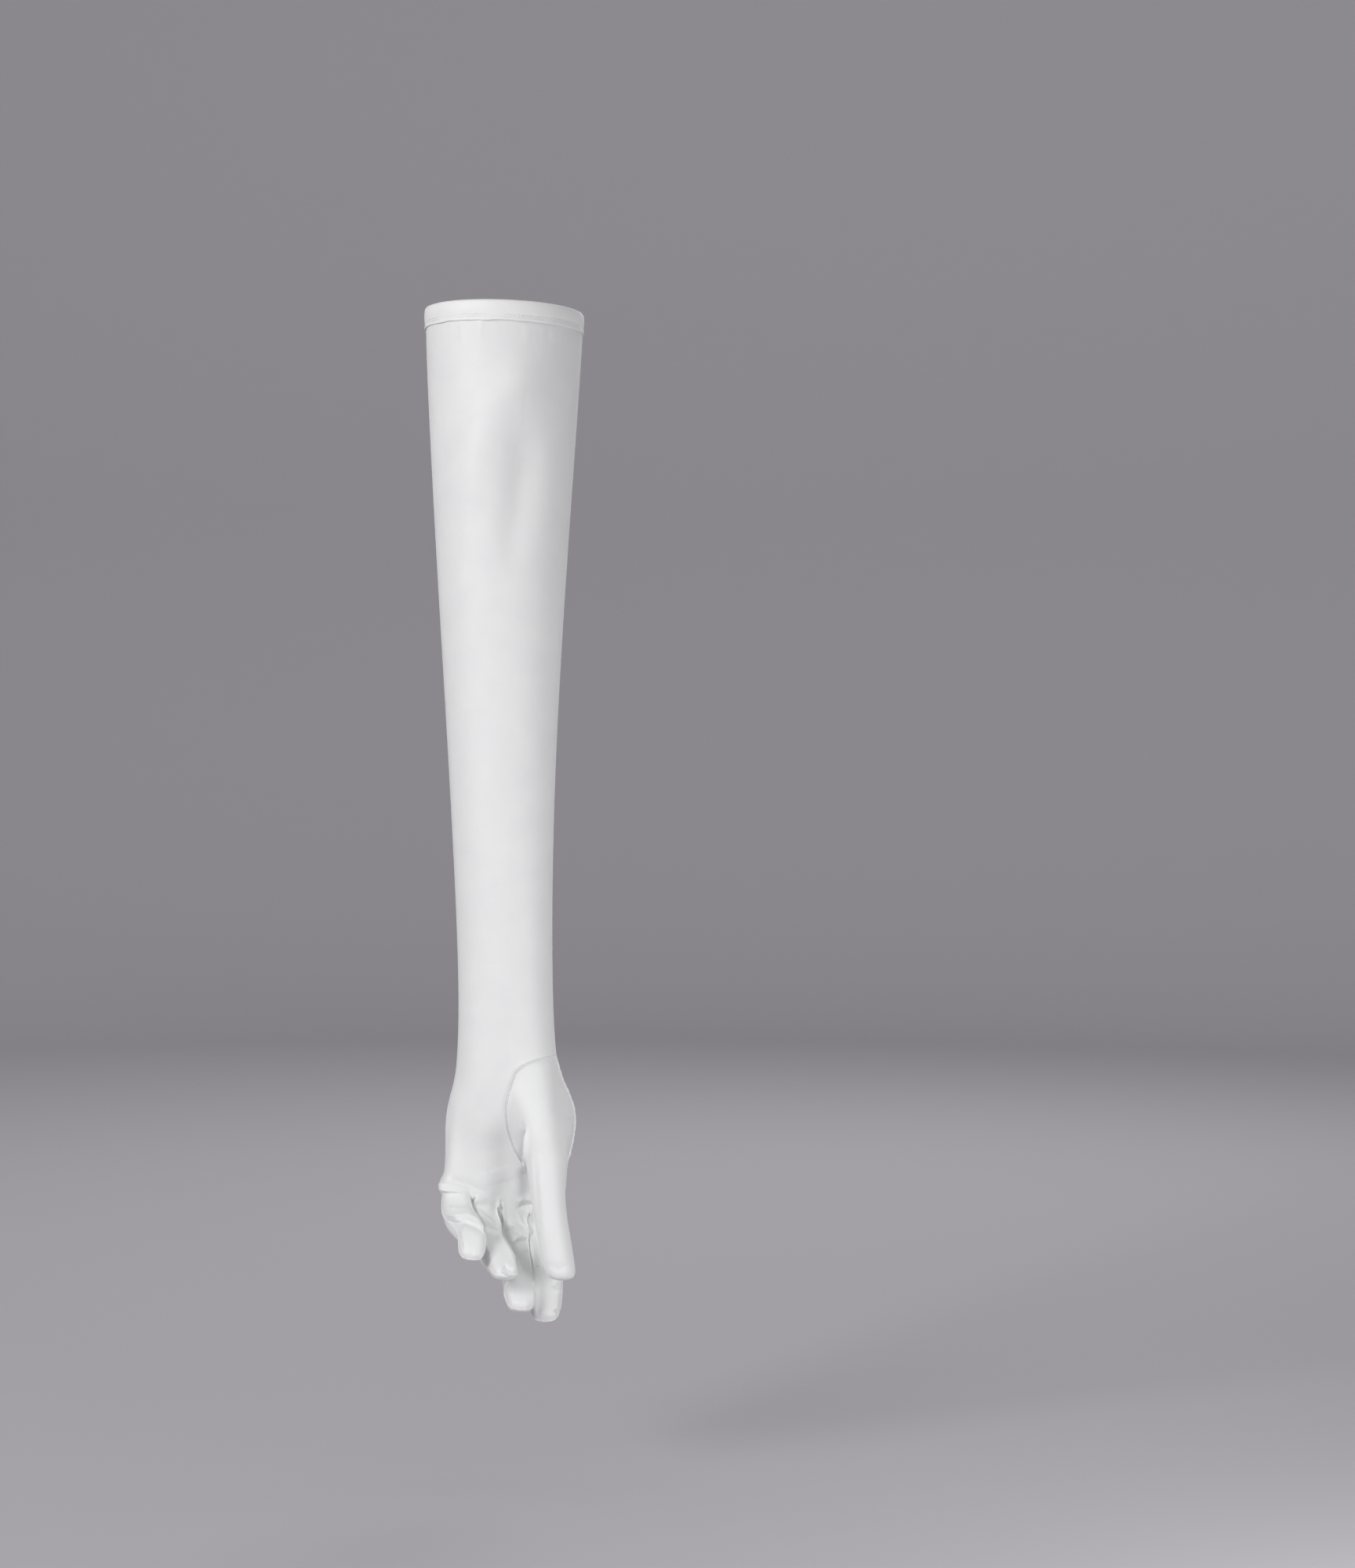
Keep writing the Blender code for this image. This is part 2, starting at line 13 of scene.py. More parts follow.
import bpy
import numpy as np
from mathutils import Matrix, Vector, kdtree


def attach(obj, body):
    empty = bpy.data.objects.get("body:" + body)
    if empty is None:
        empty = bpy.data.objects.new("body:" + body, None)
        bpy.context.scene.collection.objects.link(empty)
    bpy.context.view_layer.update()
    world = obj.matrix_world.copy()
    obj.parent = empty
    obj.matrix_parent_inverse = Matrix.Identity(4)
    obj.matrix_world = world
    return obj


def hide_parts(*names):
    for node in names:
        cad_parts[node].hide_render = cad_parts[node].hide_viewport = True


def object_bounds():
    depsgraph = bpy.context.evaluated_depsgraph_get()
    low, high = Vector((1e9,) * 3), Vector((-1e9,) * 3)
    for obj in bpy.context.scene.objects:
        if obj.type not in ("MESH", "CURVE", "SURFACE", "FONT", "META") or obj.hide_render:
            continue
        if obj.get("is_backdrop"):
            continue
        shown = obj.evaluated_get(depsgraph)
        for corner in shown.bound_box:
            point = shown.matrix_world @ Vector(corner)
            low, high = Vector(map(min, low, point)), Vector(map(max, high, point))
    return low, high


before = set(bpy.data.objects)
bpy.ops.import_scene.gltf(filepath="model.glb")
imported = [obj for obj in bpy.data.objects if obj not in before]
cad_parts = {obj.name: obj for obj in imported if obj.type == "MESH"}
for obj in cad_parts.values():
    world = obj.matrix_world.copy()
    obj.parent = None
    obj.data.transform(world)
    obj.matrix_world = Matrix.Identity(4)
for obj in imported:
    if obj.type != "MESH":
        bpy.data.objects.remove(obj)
cad_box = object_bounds()
print("frame nodes:", ", ".join(sorted(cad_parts)))

# %% [markdown]
# ## The camera
#
# The glove is seen level and from 1.56 m, off to one side of the lens's axis. A camera that is
# turned to face the glove would change its outline, so the camera looks straight along +Y and the
# glove stands away from the middle of the picture.

# %% Camera
CAMERA_X = 0.0992
CAMERA_Y = -1.560
CAMERA_Z = -0.2696
LENS_MM = 62.4
SENSOR_MM = 36.0
PICTURE_WIDTH = 1728
PICTURE_HEIGHT = 2000
PIXEL = -CAMERA_Y * SENSOR_MM / LENS_MM / PICTURE_HEIGHT

lens = bpy.data.cameras.new("camera")
lens.lens = LENS_MM
lens.sensor_width = SENSOR_MM
camera = bpy.data.objects.new("camera", lens)
camera.location = (CAMERA_X, CAMERA_Y, CAMERA_Z)
camera.rotation_euler = (math.radians(90), 0, 0)
bpy.context.scene.collection.objects.link(camera)
bpy.context.scene.camera = camera
print("one pixel at the glove's middle:", round(PIXEL * 1000, 4), "mm")

# %% [markdown]
# ## The sizes
#
# These are the glove's real sizes in metres. The cage below takes all its lengths from them, so a
# longer sleeve or a broader hand needs one number.

# %% Sizes in metres
SLEEVE_LENGTH = 0.427
CUFF_WIDTH = 0.0896
CUFF_DEPTH = 0.0850
WRIST_WIDTH = 0.0525
WRIST_DEPTH = 0.0410
SLEEVE_LEAN = 0.0015

PALM_LENGTH = 0.0940
PALM_THICKNESS = 0.0270
THUMB_SIDE_REACH = 0.0400
LITTLE_SIDE_REACH = 0.0335
KNUCKLE_SHIFT = -0.0012
FINGER_GAP = 0.0006

FINGER_WIDTH = 0.0170
FINGER_THICKNESS = 0.0165
THUMB_LENGTH = 0.0580
THUMB_WIDTH = 0.0180
THUMB_THICKNESS = 0.0170

WALL = 0.0010
SEAM_GAP = 0.00002
INSIDE_GAP = 0.0004
HEM_HEIGHT = 0.0105
FOLD_HEIGHT = 0.0022

# %% [markdown]
# ## The cage
#
# A subdivision surface over a coarse cage is the usual way to model a hand. The cage here is rows
# of 20 points: one on the thumb side, nine over the back, one on the little side and nine over the
# palm. Two columns of each face belong to each finger, so the fingers grow out of the last row
# without any cut. The tables hold shares of the sizes above.

# %% Rows of the sleeve and hand, rings of the fingers and thumb
COLUMNS = 20
THUMB_SIDE = 0
LITTLE_SIDE = 10

SleeveRow = namedtuple("SleeveRow", "along taper lean")
SLEEVE_ROWS = (
    SleeveRow(0.000, 0.000, -0.1),
    SleeveRow(0.045, 0.010, -0.2),
    SleeveRow(0.300, 0.365, -1.1),
    SleeveRow(0.620, 0.830, -1.2),
    SleeveRow(0.900, 1.020, 0.4),
)

HandRow = namedtuple("HandRow", "along thumb_side little_side thickness tilt knuckled")
HAND_ROWS = (
    HandRow(0.030, 0.73, 0.80, 1.46, 0.00, 0.00),
    HandRow(0.170, 0.86, 0.86, 1.36, 0.02, 0.00),
    HandRow(0.310, 1.01, 0.97, 1.25, 0.10, 0.05),
    HandRow(0.460, 1.00, 1.01, 1.14, 0.25, 0.15),
    HandRow(0.620, 0.90, 1.00, 1.06, 0.50, 0.35),
    HandRow(0.810, 0.87, 1.02, 1.00, 0.80, 0.65),
)

Finger = namedtuple("Finger", "name length width thickness raised turn tip_turn root middle tip")
FINGERS = (
    Finger("index", 0.0630, 1.03, 1.00, 0.000, 5.0, 0.0, 28.0, 40.0, 46.0),
    Finger("middle", 0.0675, 1.00, 1.02, 0.030, 11.0, 9.0, 32.0, 52.0, 66.0),
    Finger("ring", 0.0645, 0.93, 0.96, 0.075, 30.0, 14.0, 49.0, 69.0, 76.0),
    Finger("little", 0.0580, 0.92, 0.92, 0.150, 36.0, 2.0, 61.0, 70.0, 52.0),
)

FingerRing = namedtuple("FingerRing", "along width thickness")
FINGER_RINGS = (
    FingerRing(0.10, 1.04, 1.10),
    FingerRing(0.27, 1.05, 1.05),
    FingerRing(0.43, 1.03, 1.02),
    FingerRing(0.58, 1.00, 0.98),
    FingerRing(0.73, 0.97, 0.90),
    FingerRing(0.88, 0.91, 0.70),
    FingerRing(0.97, 0.69, 0.42),
)
TIP_ALONG = 1.005
FOURCHETTE_RINGS = 5
KNUCKLE_TILT = 32.0
KNUCKLE_THICKNESS = 1.75
CORNER_ACROSS = 0.97
CORNER_THROUGH = 0.78

ThumbRing = namedtuple("ThumbRing", "along sideways forward width thickness")
THUMB_RINGS = (
    ThumbRing(0.00, 0.000, 0.000, 1.20, 1.20),
    ThumbRing(0.20, 0.015, 0.070, 1.06, 1.06),
    ThumbRing(0.42, 0.045, 0.130, 1.04, 1.00),
    ThumbRing(0.64, 0.090, 0.165, 1.04, 0.98),
    ThumbRing(0.84, 0.125, 0.185, 1.02, 0.94),
    ThumbRing(0.96, 0.155, 0.195, 0.90, 0.84),
)
THUMB_TIP = ThumbRing(0.995, 0.165, 0.200, 0.0, 0.0)
THUMB_TURN = 25.0
THUMB_ROOT_SHARES = (0.64, -1.07, -0.67)

SeamPoint = namedtuple("SeamPoint", "sideways down")
THUMB_SEAM = (
    SeamPoint(0.170, 0.110),
    SeamPoint(0.065, 0.215),
    SeamPoint(0.050, 0.350),
    SeamPoint(0.110, 0.510),
    SeamPoint(0.310, 0.670),
)
SEAM_TOP = (0.062, 0.042, 0.036, 0.040)


def back_column(k):
    return 1 + k


def palm_column(k):
    return 19 - k


SEAM_TOP_ROW = len(SLEEVE_ROWS)
SEAM_BOTTOM_ROW = SEAM_TOP_ROW + len(THUMB_SEAM) - 1
SEAM_PALM_COLUMN = palm_column(3)

# %% [markdown]
# The points of the sleeve and of the hand come first. A smoothed ring of points shrinks, so `swell`
# makes each ring larger by just that much.

# %% Shares and ovals
def smooth(x):
    x = np.clip(x, 0.0, 1.0)
    return x * x * (3 - 2 * x)


def mix(a, b, t):
    return a + (b - a) * t


def swell(count):
    return 6 / (4 + 2 * math.cos(2 * math.pi / count))


def oval(width, depth, centre, z):
    size = swell(COLUMNS)
    turns = np.arange(COLUMNS) * 2 * math.pi / COLUMNS
    x = centre + width / 2 * size * np.cos(turns)
    y = depth / 2 * size * np.sin(turns)
    return np.column_stack((x, y, np.full(COLUMNS, z)))


# %% Bends and sections of a finger
def finger_frame(finger, bend, turn):
    """Unit vectors along a finger, to its thumb side and to its back, from angles in degrees."""
    bend, turn = math.radians(bend), math.radians(turn)
    towards = np.array((math.sin(turn), -math.cos(turn), 0.0))
    up = np.array((0.0, 0.0, 1.0))
    along = math.sin(bend) * towards - math.cos(bend) * up
    side = np.array((math.cos(turn), math.sin(turn), 0.0))
    back = -(math.cos(bend) * towards + math.sin(bend) * up)
    return along, side, back


def finger_angles(finger, share):
    """The bend and the sideways turn at a share of the finger's length."""
    first = (finger.middle - finger.root) * smooth((share - 0.25) / 0.30)
    second = (finger.tip - finger.middle) * smooth((share - 0.60) / 0.25)
    turned = (finger.tip_turn - finger.turn) * smooth((share - 0.52) / 0.22)
    return finger.root + first + second, finger.turn * smooth((share - 0.10) / 0.35) + turned


def finger_base(number):
    """The middle of a finger's root. The four sit side by side with the named gap."""
    widths = [f.width * FINGER_WIDTH for f in FINGERS]
    whole = sum(widths) + FINGER_GAP * (len(FINGERS) - 1)
    left_of = sum(widths[:number]) + FINGER_GAP * number
    x = KNUCKLE_SHIFT + whole / 2 - left_of - widths[number] / 2
    return np.array((x, 0.0, -SLEEVE_LENGTH - PALM_LENGTH * (1 - FINGERS[number].raised)))


def finger_place(number, share, steps=60):
    """The point at a share of a finger's length, found by walking along its bends."""
    finger = FINGERS[number]
    point = finger_base(number)
    for i in range(steps):
        along, _, _ = finger_frame(finger, *finger_angles(finger, share * (i + 0.5) / steps))
        point = point + along * finger.length * share / steps
    return point


def finger_section(finger, middle, bend, turn, width, thickness):
    """Eight points round a finger, from its thumb side over the back to the palm."""
    _, side, back = finger_frame(finger, bend, turn)
    side = side * FINGER_WIDTH * finger.width * width / 2 * 6 / (4 + 2 * CORNER_ACROSS)
    back = back * FINGER_THICKNESS * finger.thickness * thickness / 2
    back = back * 6 / (4 + 2 * CORNER_THROUGH)
    x, y = CORNER_ACROSS, CORNER_THROUGH
    places = ((1, 0), (x, y), (0, 1), (-x, y), (-1, 0), (-x, -y), (0, -1), (x, -y))
    return [middle + side * across + back * through for across, through in places]


# %% Rows from the mouth to the knuckles
def knuckle_points():
    """The row where the fingers part: a point for each column, and one in each crotch."""
    rings = [
        finger_section(finger, finger_base(n), KNUCKLE_TILT, 0.0, 1.0, KNUCKLE_THICKNESS)
        for n, finger in enumerate(FINGERS)
    ]
    ring = np.zeros((COLUMNS, 3))
    crotch = []
    ring[THUMB_SIDE] = rings[0][0]
    ring[LITTLE_SIDE] = rings[-1][4]
    ring[back_column(0)], ring[palm_column(0)] = rings[0][1], rings[0][7]
    ring[back_column(8)], ring[palm_column(8)] = rings[-1][3], rings[-1][5]
    for number, points in enumerate(rings):
        ring[back_column(2 * number + 1)] = points[2]
        ring[palm_column(2 * number + 1)] = points[6]
        if number:
            before = rings[number - 1]
            ring[back_column(2 * number)] = (before[3] + points[1]) / 2
            ring[palm_column(2 * number)] = (before[5] + points[7]) / 2
            crotch.append((before[4] + points[0]) / 2)
    return ring, crotch


def sleeve_rows():
    rows = []
    for row in SLEEVE_ROWS:
        width = mix(CUFF_WIDTH, WRIST_WIDTH, row.taper)
        depth = mix(CUFF_DEPTH, WRIST_DEPTH, row.taper)
        rows.append(oval(width, depth, row.lean * SLEEVE_LEAN, -row.along * SLEEVE_LENGTH))
    return rows


def hand_rows(knuckles):
    """Rows from the wrist's oval to the row of knuckles."""
    rows = []
    low = knuckles[:, 2].mean()
    middle = (knuckles[:, 0].max() + knuckles[:, 0].min()) / 2
    reach = (knuckles[:, 0].max() - knuckles[:, 0].min()) / 2
    for row in HAND_ROWS:
        right = THUMB_SIDE_REACH * row.thumb_side
        left = LITTLE_SIDE_REACH * row.little_side
        width, centre = right + left, (right - left) / 2
        z = mix(-SLEEVE_LENGTH, low, row.along)
        round_row = oval(width, PALM_THICKNESS * row.thickness, centre, z)
        flat_row = knuckles.copy()
        flat_row[:, 0] = centre + (knuckles[:, 0] - middle) * width / 2 / reach
        ring = mix(round_row, flat_row, row.knuckled)
        ring[:, 2] = z + (knuckles[:, 2] - low) * row.tilt
        rows.append(ring)
    return rows


def place_thumb_seam(rows):
    """Moves the palm edge of the thumb's hole onto the seam's curve, and the palm's other columns
    with it in proportion."""
    for i, point in enumerate(THUMB_SEAM):
        row = rows[SEAM_TOP_ROW + i]
        side = row[LITTLE_SIDE, 0]
        seam = point.sideways * THUMB_SIDE_REACH
        palm = slice(LITTLE_SIDE, SEAM_PALM_COLUMN + 1)
        share = (seam - side) / (row[SEAM_PALM_COLUMN, 0] - side)
        row[palm, 0] = side + (row[palm, 0] - side) * share
        row[SEAM_PALM_COLUMN, 2] = -SLEEVE_LENGTH - point.down * PALM_LENGTH
    top_columns = [*range(SEAM_PALM_COLUMN + 1, COLUMNS), THUMB_SIDE]
    for column, down in zip(top_columns, SEAM_TOP):
        rows[SEAM_TOP_ROW][column, 2] = -SLEEVE_LENGTH - down * PALM_LENGTH


# %% [markdown]
# The faces join the points. Each face carries two names: the panel of cloth that it is cut from, and
# the part of the hand that it covers. The panels meet along the glove's real seams.

# %% Cage and faces
Cage = namedtuple("Cage", "points faces labels")


def add_points(cage, points):
    first = len(cage.points)
    cage.points.extend(np.asarray(p, float) for p in points)
    return list(range(first, first + len(points)))


def add_face(cage, corners, panel, part):
    cage.faces.append(tuple(corners))
    cage.labels.append((panel, part))


def add_band(cage, upper, lower, panels, part):
    """Faces between two closed loops of point numbers, with a panel's name for each."""
    count = len(upper)
    for i in range(count):
        j = (i + 1) % count
        add_face(cage, (upper[i], lower[i], lower[j], upper[j]), panels[i], part)


def fourchette(number):
    return f"fourchette_{FINGERS[number].name}_{FINGERS[number + 1].name}"


# %% Faces of the sleeve and hand
def add_hand(cage):
    """Adds the sleeve and the hand down to the knuckles."""
    knuckles, crotch = knuckle_points()
    rows = sleeve_rows() + hand_rows(knuckles)
    place_thumb_seam(rows)
    rows.append(knuckles)
    numbers = [add_points(cage, row) for row in rows]
    for r, (upper, lower) in enumerate(zip(numbers, numbers[1:])):
        part = "sleeve" if r < SEAM_TOP_ROW - 1 else "hand"
        for c in range(COLUMNS):
            d = (c + 1) % COLUMNS
            in_hole = SEAM_TOP_ROW <= r < SEAM_BOTTOM_ROW and c >= SEAM_PALM_COLUMN
            if not in_hole:
                panel = "back_panel" if c < LITTLE_SIDE else "palm_panel"
                add_face(cage, (upper[c], lower[c], lower[d], upper[d]), panel, part)
    return numbers, add_points(cage, crotch)


# %% Faces of a finger
def finger_root_loop(number, row, crotch):
    a, m, c = 2 * number, 2 * number + 1, 2 * number + 2
    thumb_side = row[THUMB_SIDE] if number == 0 else crotch[number - 1]
    little_side = row[LITTLE_SIDE] if number == len(FINGERS) - 1 else crotch[number]
    back = [row[back_column(k)] for k in (a, m, c)]
    palm = [row[palm_column(k)] for k in (c, m, a)]
    return [thumb_side, *back, little_side, *palm]


def finger_panels(number, ring):
    """The panel of each of the eight strips between two rings of a finger."""
    panels = ["back_panel"] * 4 + ["palm_panel"] * 4
    if ring < FOURCHETTE_RINGS and number > 0:
        panels[0] = panels[7] = fourchette(number - 1)
    if ring < FOURCHETTE_RINGS and number < len(FINGERS) - 1:
        panels[3] = panels[4] = fourchette(number)
    return panels


def add_finger(cage, number, row, crotch):
    finger = FINGERS[number]
    loop = finger_root_loop(number, row, crotch)
    for r, ring in enumerate(FINGER_RINGS):
        bend, turn = finger_angles(finger, ring.along)
        middle = finger_place(number, ring.along)
        section = finger_section(finger, middle, bend, turn, ring.width, ring.thickness)
        below = add_points(cage, section)
        add_band(cage, loop, below, finger_panels(number, r), finger.name)
        loop = below
    (tip,) = add_points(cage, [finger_place(number, TIP_ALONG)])
    for i in range(0, 8, 2):
        panel = "back_panel" if i < 4 else "palm_panel"
        add_face(cage, (loop[i], tip, loop[(i + 2) % 8], loop[i + 1]), panel, finger.name)


# %% Faces of the thumb
def thumb_place(ring):
    sideways, forward, down = THUMB_ROOT_SHARES
    x = sideways * THUMB_SIDE_REACH
    y = forward * PALM_THICKNESS
    z = down * PALM_LENGTH - SLEEVE_LENGTH
    steps = np.array((ring.sideways, -ring.forward, -ring.along))
    return np.array((x, y, z)) + THUMB_LENGTH * steps


def thumb_ring(ring):
    """Sixteen points round the thumb, in the order of the hole's edge."""
    turn = math.radians(THUMB_TURN)
    across = np.array((math.cos(turn), math.sin(turn), 0.0)) * THUMB_WIDTH * ring.width / 2
    through = np.array((-math.sin(turn), math.cos(turn), 0.0)) * THUMB_THICKNESS / 2
    through = through * ring.thickness
    angles = [math.radians(225 + 22.5 * i) - turn for i in range(16)]
    ways = [across * math.cos(a) + through * math.sin(a) for a in angles]
    return [thumb_place(ring) + way * swell(16) for way in ways]


def add_thumb(cage, rows):
    """Adds the thumb, from the edge of its hole in the hand to its tip."""
    top, bottom = SEAM_TOP_ROW, SEAM_BOTTOM_ROW
    columns = [*range(SEAM_PALM_COLUMN, COLUMNS), THUMB_SIDE]
    edge = [rows[top][c] for c in columns]
    edge += [rows[r][THUMB_SIDE] for r in range(top + 1, bottom)]
    edge += [rows[bottom][c] for c in reversed(columns)]
    edge += [rows[r][SEAM_PALM_COLUMN] for r in range(bottom - 1, top, -1)]
    start = np.array([cage.points[n] for n in edge])
    free = np.array(thumb_ring(THUMB_RINGS[0]))
    bulge = mix(start, free, np.array((0.80, 0.75, 0.35)))
    between = [
        (1 - t) ** 2 * start + 2 * t * (1 - t) * bulge + t * t * free
        for t in (0.22, 0.47, 0.74)
    ]
    loop = edge
    for ring in between + [thumb_ring(ring) for ring in THUMB_RINGS]:
        below = add_points(cage, ring)
        add_band(cage, loop, below, ["thumb_panel"] * 16, "thumb")
        loop = below
    (tip,) = add_points(cage, [thumb_place(THUMB_TIP)])
    for i in range(0, 16, 2):
        corners = (loop[i], tip, loop[(i + 2) % 16], loop[i + 1])
        add_face(cage, corners, "thumb_panel", "thumb")


# %% The whole cage
cage = Cage([], [], [])
hand_numbers, crotch_numbers = add_hand(cage)
for number in range(len(FINGERS)):
    add_finger(cage, number, hand_numbers[-1], crotch_numbers)
add_thumb(cage, hand_numbers)
print("cage:", len(cage.points), "points,", len(cage.faces), "faces")

# %% [markdown]
# ## The smooth surface
#
# Blender's Subdivision Surface modifier rounds the cage. Its result is read back as arrays, because
# the folds and the seams are worked out for every point at once. The outside uses four levels,
# about half a millimetre between points on the hand, and the hidden inside uses three.

# %% Smooth surface
Surface = namedtuple("Surface", "points normals faces panel part")


def smooth_surface(cage, levels):
    """The rounded cage: places, normals, faces, each face's panel and each point's part."""
    labels = sorted(set(cage.labels))
    mesh = bpy.data.meshes.new("cage")
    mesh.from_pydata([tuple(p) for p in cage.points], [], cage.faces)
    plain = bpy.data.materials.new("cage")
    for _ in labels:
        mesh.materials.append(plain)
    mesh.polygons.foreach_set("material_index", [labels.index(name) for name in cage.labels])
    guide = bpy.data.objects.new("cage", mesh)
    bpy.context.scene.collection.objects.link(guide)
    modifier = guide.modifiers.new("smooth", "SUBSURF")
    modifier.levels = modifier.render_levels = levels
    graph = bpy.context.evaluated_depsgraph_get()
    fine = bpy.data.meshes.new_from_object(guide.evaluated_get(graph))
    points = np.empty(len(fine.vertices) * 3)
    fine.vertices.foreach_get("co", points)
    normals = np.empty(len(fine.vertices) * 3)
    fine.vertex_normals.foreach_get("vector", normals)
    corners = np.empty(len(fine.loops), dtype=np.int64)
    fine.loops.foreach_get("vertex_index", corners)
    label = np.empty(len(fine.polygons), dtype=np.int64)
    fine.polygons.foreach_get("material_index", label)
    bpy.data.objects.remove(guide)
    bpy.data.meshes.remove(fine)
    bpy.data.meshes.remove(mesh)
    bpy.data.materials.remove(plain)
    points, normals = points.reshape(-1, 3), normals.reshape(-1, 3)
    faces = corners.reshape(-1, 4)
    panel = np.array([name for name, _ in labels])[label]
    part = np.empty(len(points), dtype=object)
    for name in sorted({part_name for _, part_name in labels}):
        mine = np.isin(label, [i for i, (_, p) in enumerate(labels) if p == name])
        part[np.unique(faces[mine])] = name
    return Surface(points, normals, faces, panel, part)


outside = smooth_surface(cage, 4)
inside = smooth_surface(cage, 3)
print("outside:", len(outside.points), "points; inside:", len(inside.points), "points")

# %% [markdown]
# ## Folds and dents
#
# Worn cloth is never as smooth as its form. The broad folds are the frame's own. The finer ones are
# strokes: short lines with a height, which raise the cloth or press it in. Each has a reach to its
# left and one to its right, so a short reach beside a long one gives the sharp lip of a fold. A
# stroke's places are given in pixels of the picture from the camera or from behind.

# %% Broad folds
Fold = namedtuple("Fold", "part side across down across_to down_to reach height")
FOLDS = (
    Fold("sleeve", "palm", 0.17, 0.20, 0.06, 0.32, 0.120, -1.0),
    Fold("sleeve", "palm", -0.20, 0.24, 0.10, 0.10, 0.130, 0.55),
    Fold("sleeve", "back", 0.17, 0.20, 0.06, 0.32, 0.120, -0.80),
    Fold("hand", "palm", 0.24, 0.10, 0.27, 0.42, 0.090, 0.90),
    Fold("hand", "palm", -0.02, 0.55, 0.08, 0.95, 0.130, -1.0),
    Fold("hand", "palm", -0.36, 0.78, -0.16, 0.85, 0.035, 0.70),
    Fold("hand", "little", -0.42, 0.762, -0.34, 0.772, 0.048, 1.25),
    Fold("hand", "back", -0.30, 0.70, 0.32, 0.86, 0.080, 0.65),
)
FOLD_SIDES = {"back": (0, 1, 0), "palm": (0, -1, 0), "little": (-1, 0, 0)}


def line_distance(flat, start, end):
    """How far points are from a line, below zero on its right, and how far along it, 0 to 1."""
    run = end - start
    t = np.clip(((flat - start) @ run) / (run @ run), 0, 1)
    away = flat - start - t[:, None] * run
    left = np.where(run[0] * away[:, 1] - run[1] * away[:, 0] < 0, -1.0, 1.0)
    return np.linalg.norm(away, axis=1) * left, t


def fold_heights(surface):
    heights = np.zeros(len(surface.points))
    for fold in FOLDS:
        length = SLEEVE_LENGTH if fold.part == "sleeve" else PALM_LENGTH
        top = 0.0 if fold.part == "sleeve" else -SLEEVE_LENGTH
        start = np.array((fold.across * CUFF_WIDTH, top - fold.down * length))
        end = np.array((fold.across_to * CUFF_WIDTH, top - fold.down_to * length))
        away, _ = line_distance(surface.points[:, (0, 2)], start, end)
        facing = surface.normals @ FOLD_SIDES[fold.side]
        share = np.exp(-((away / (fold.reach * CUFF_WIDTH)) ** 2))
        heights += FOLD_HEIGHT * fold.height * np.clip(facing * 1.6, 0, 1) * share
    return heights


# %% Tables of strokes
Stroke = namedtuple("Stroke", "side parts left right height path")
PALM_STROKES = (
    Stroke("front", "hand little ring", 1.0, 2.4, 0.9,
           ((560, 1508), (576, 1510), (595, 1515), (614, 1525))),
    Stroke("front", "hand little ring", 2.6, 0.9, -0.8,
           ((560, 1505), (584, 1509), (606, 1517), (628, 1528))),
    Stroke("front", "hand little ring", 0.35, 2.2, 0.7, ((596.5, 1518), (599.5, 1526), (603.2, 1535))),
    Stroke("front", "hand little ring", 0.8, 0.35, -1.6, ((598.5, 1520), (601, 1527), (604, 1535.5))),
    Stroke("front", "hand little ring", 0.4, 1.6, 0.6, ((604.5, 1535), (609.5, 1525))),
    Stroke("front", "hand little ring", 0.8, 0.35, -1.3, ((603.5, 1534.5), (608.3, 1525))),
    Stroke("front", "hand ring middle", 0.5, 2.6, 0.9, ((637.2, 1533), (636.8, 1550), (638.5, 1567))),
    Stroke("front", "hand ring middle", 0.8, 0.35, -2.6, ((638.2, 1534), (638.6, 1550), (640, 1568))),
    Stroke("front", "hand", 6.0, 4.6, -2.2, ((668, 1486), (675, 1508), (678, 1536))),
    Stroke("front", "hand middle index", 1.1, 0.8, 0.9, ((658, 1534), (668, 1531), (684, 1531))),
    Stroke("front", "hand middle index", 0.7, 1.5, -1.2, ((660, 1541), (669, 1538), (684, 1537))),
    Stroke("front", "hand", 2.8, 2.8, -0.9, ((575, 1400), (571, 1430), (567, 1462), (568, 1490))),
    Stroke("front", "hand", 9.0, 9.0, 0.6, ((630, 1490), (636, 1512))),
    Stroke("front", "hand little ring", 1.4, 3.0, 1.8, ((564, 1519), (582, 1519), (600, 1523))),
)
LITTLE_STROKES = (
    Stroke("front", "little", 3.2, 0.8, 1.3,
           ((566, 1549), (581, 1552), (596, 1550), (608, 1556), (620, 1566))),
    Stroke("front", "little", 0.7, 2.6, -1.5,
           ((566, 1556), (580, 1559), (594, 1557), (607, 1562), (620, 1572))),
    Stroke("front", "little", 0.5, 2.0, -1.2, ((588, 1560), (587, 1574), (590, 1590))),
    Stroke("front", "little", 2.2, 0.5, 0.8, ((590, 1562), (589.5, 1576), (593, 1592))),
    Stroke("front", "little", 0.8, 0.6, 0.7, ((616, 1566), (622, 1574), (624, 1586))),
    Stroke("front", "little", 1.4, 1.4, 0.7, ((570, 1540), (586, 1543), (600, 1540))),
    Stroke("front", "little", 3.0, 3.0, 0.8, ((602, 1600), (616, 1603))),
)
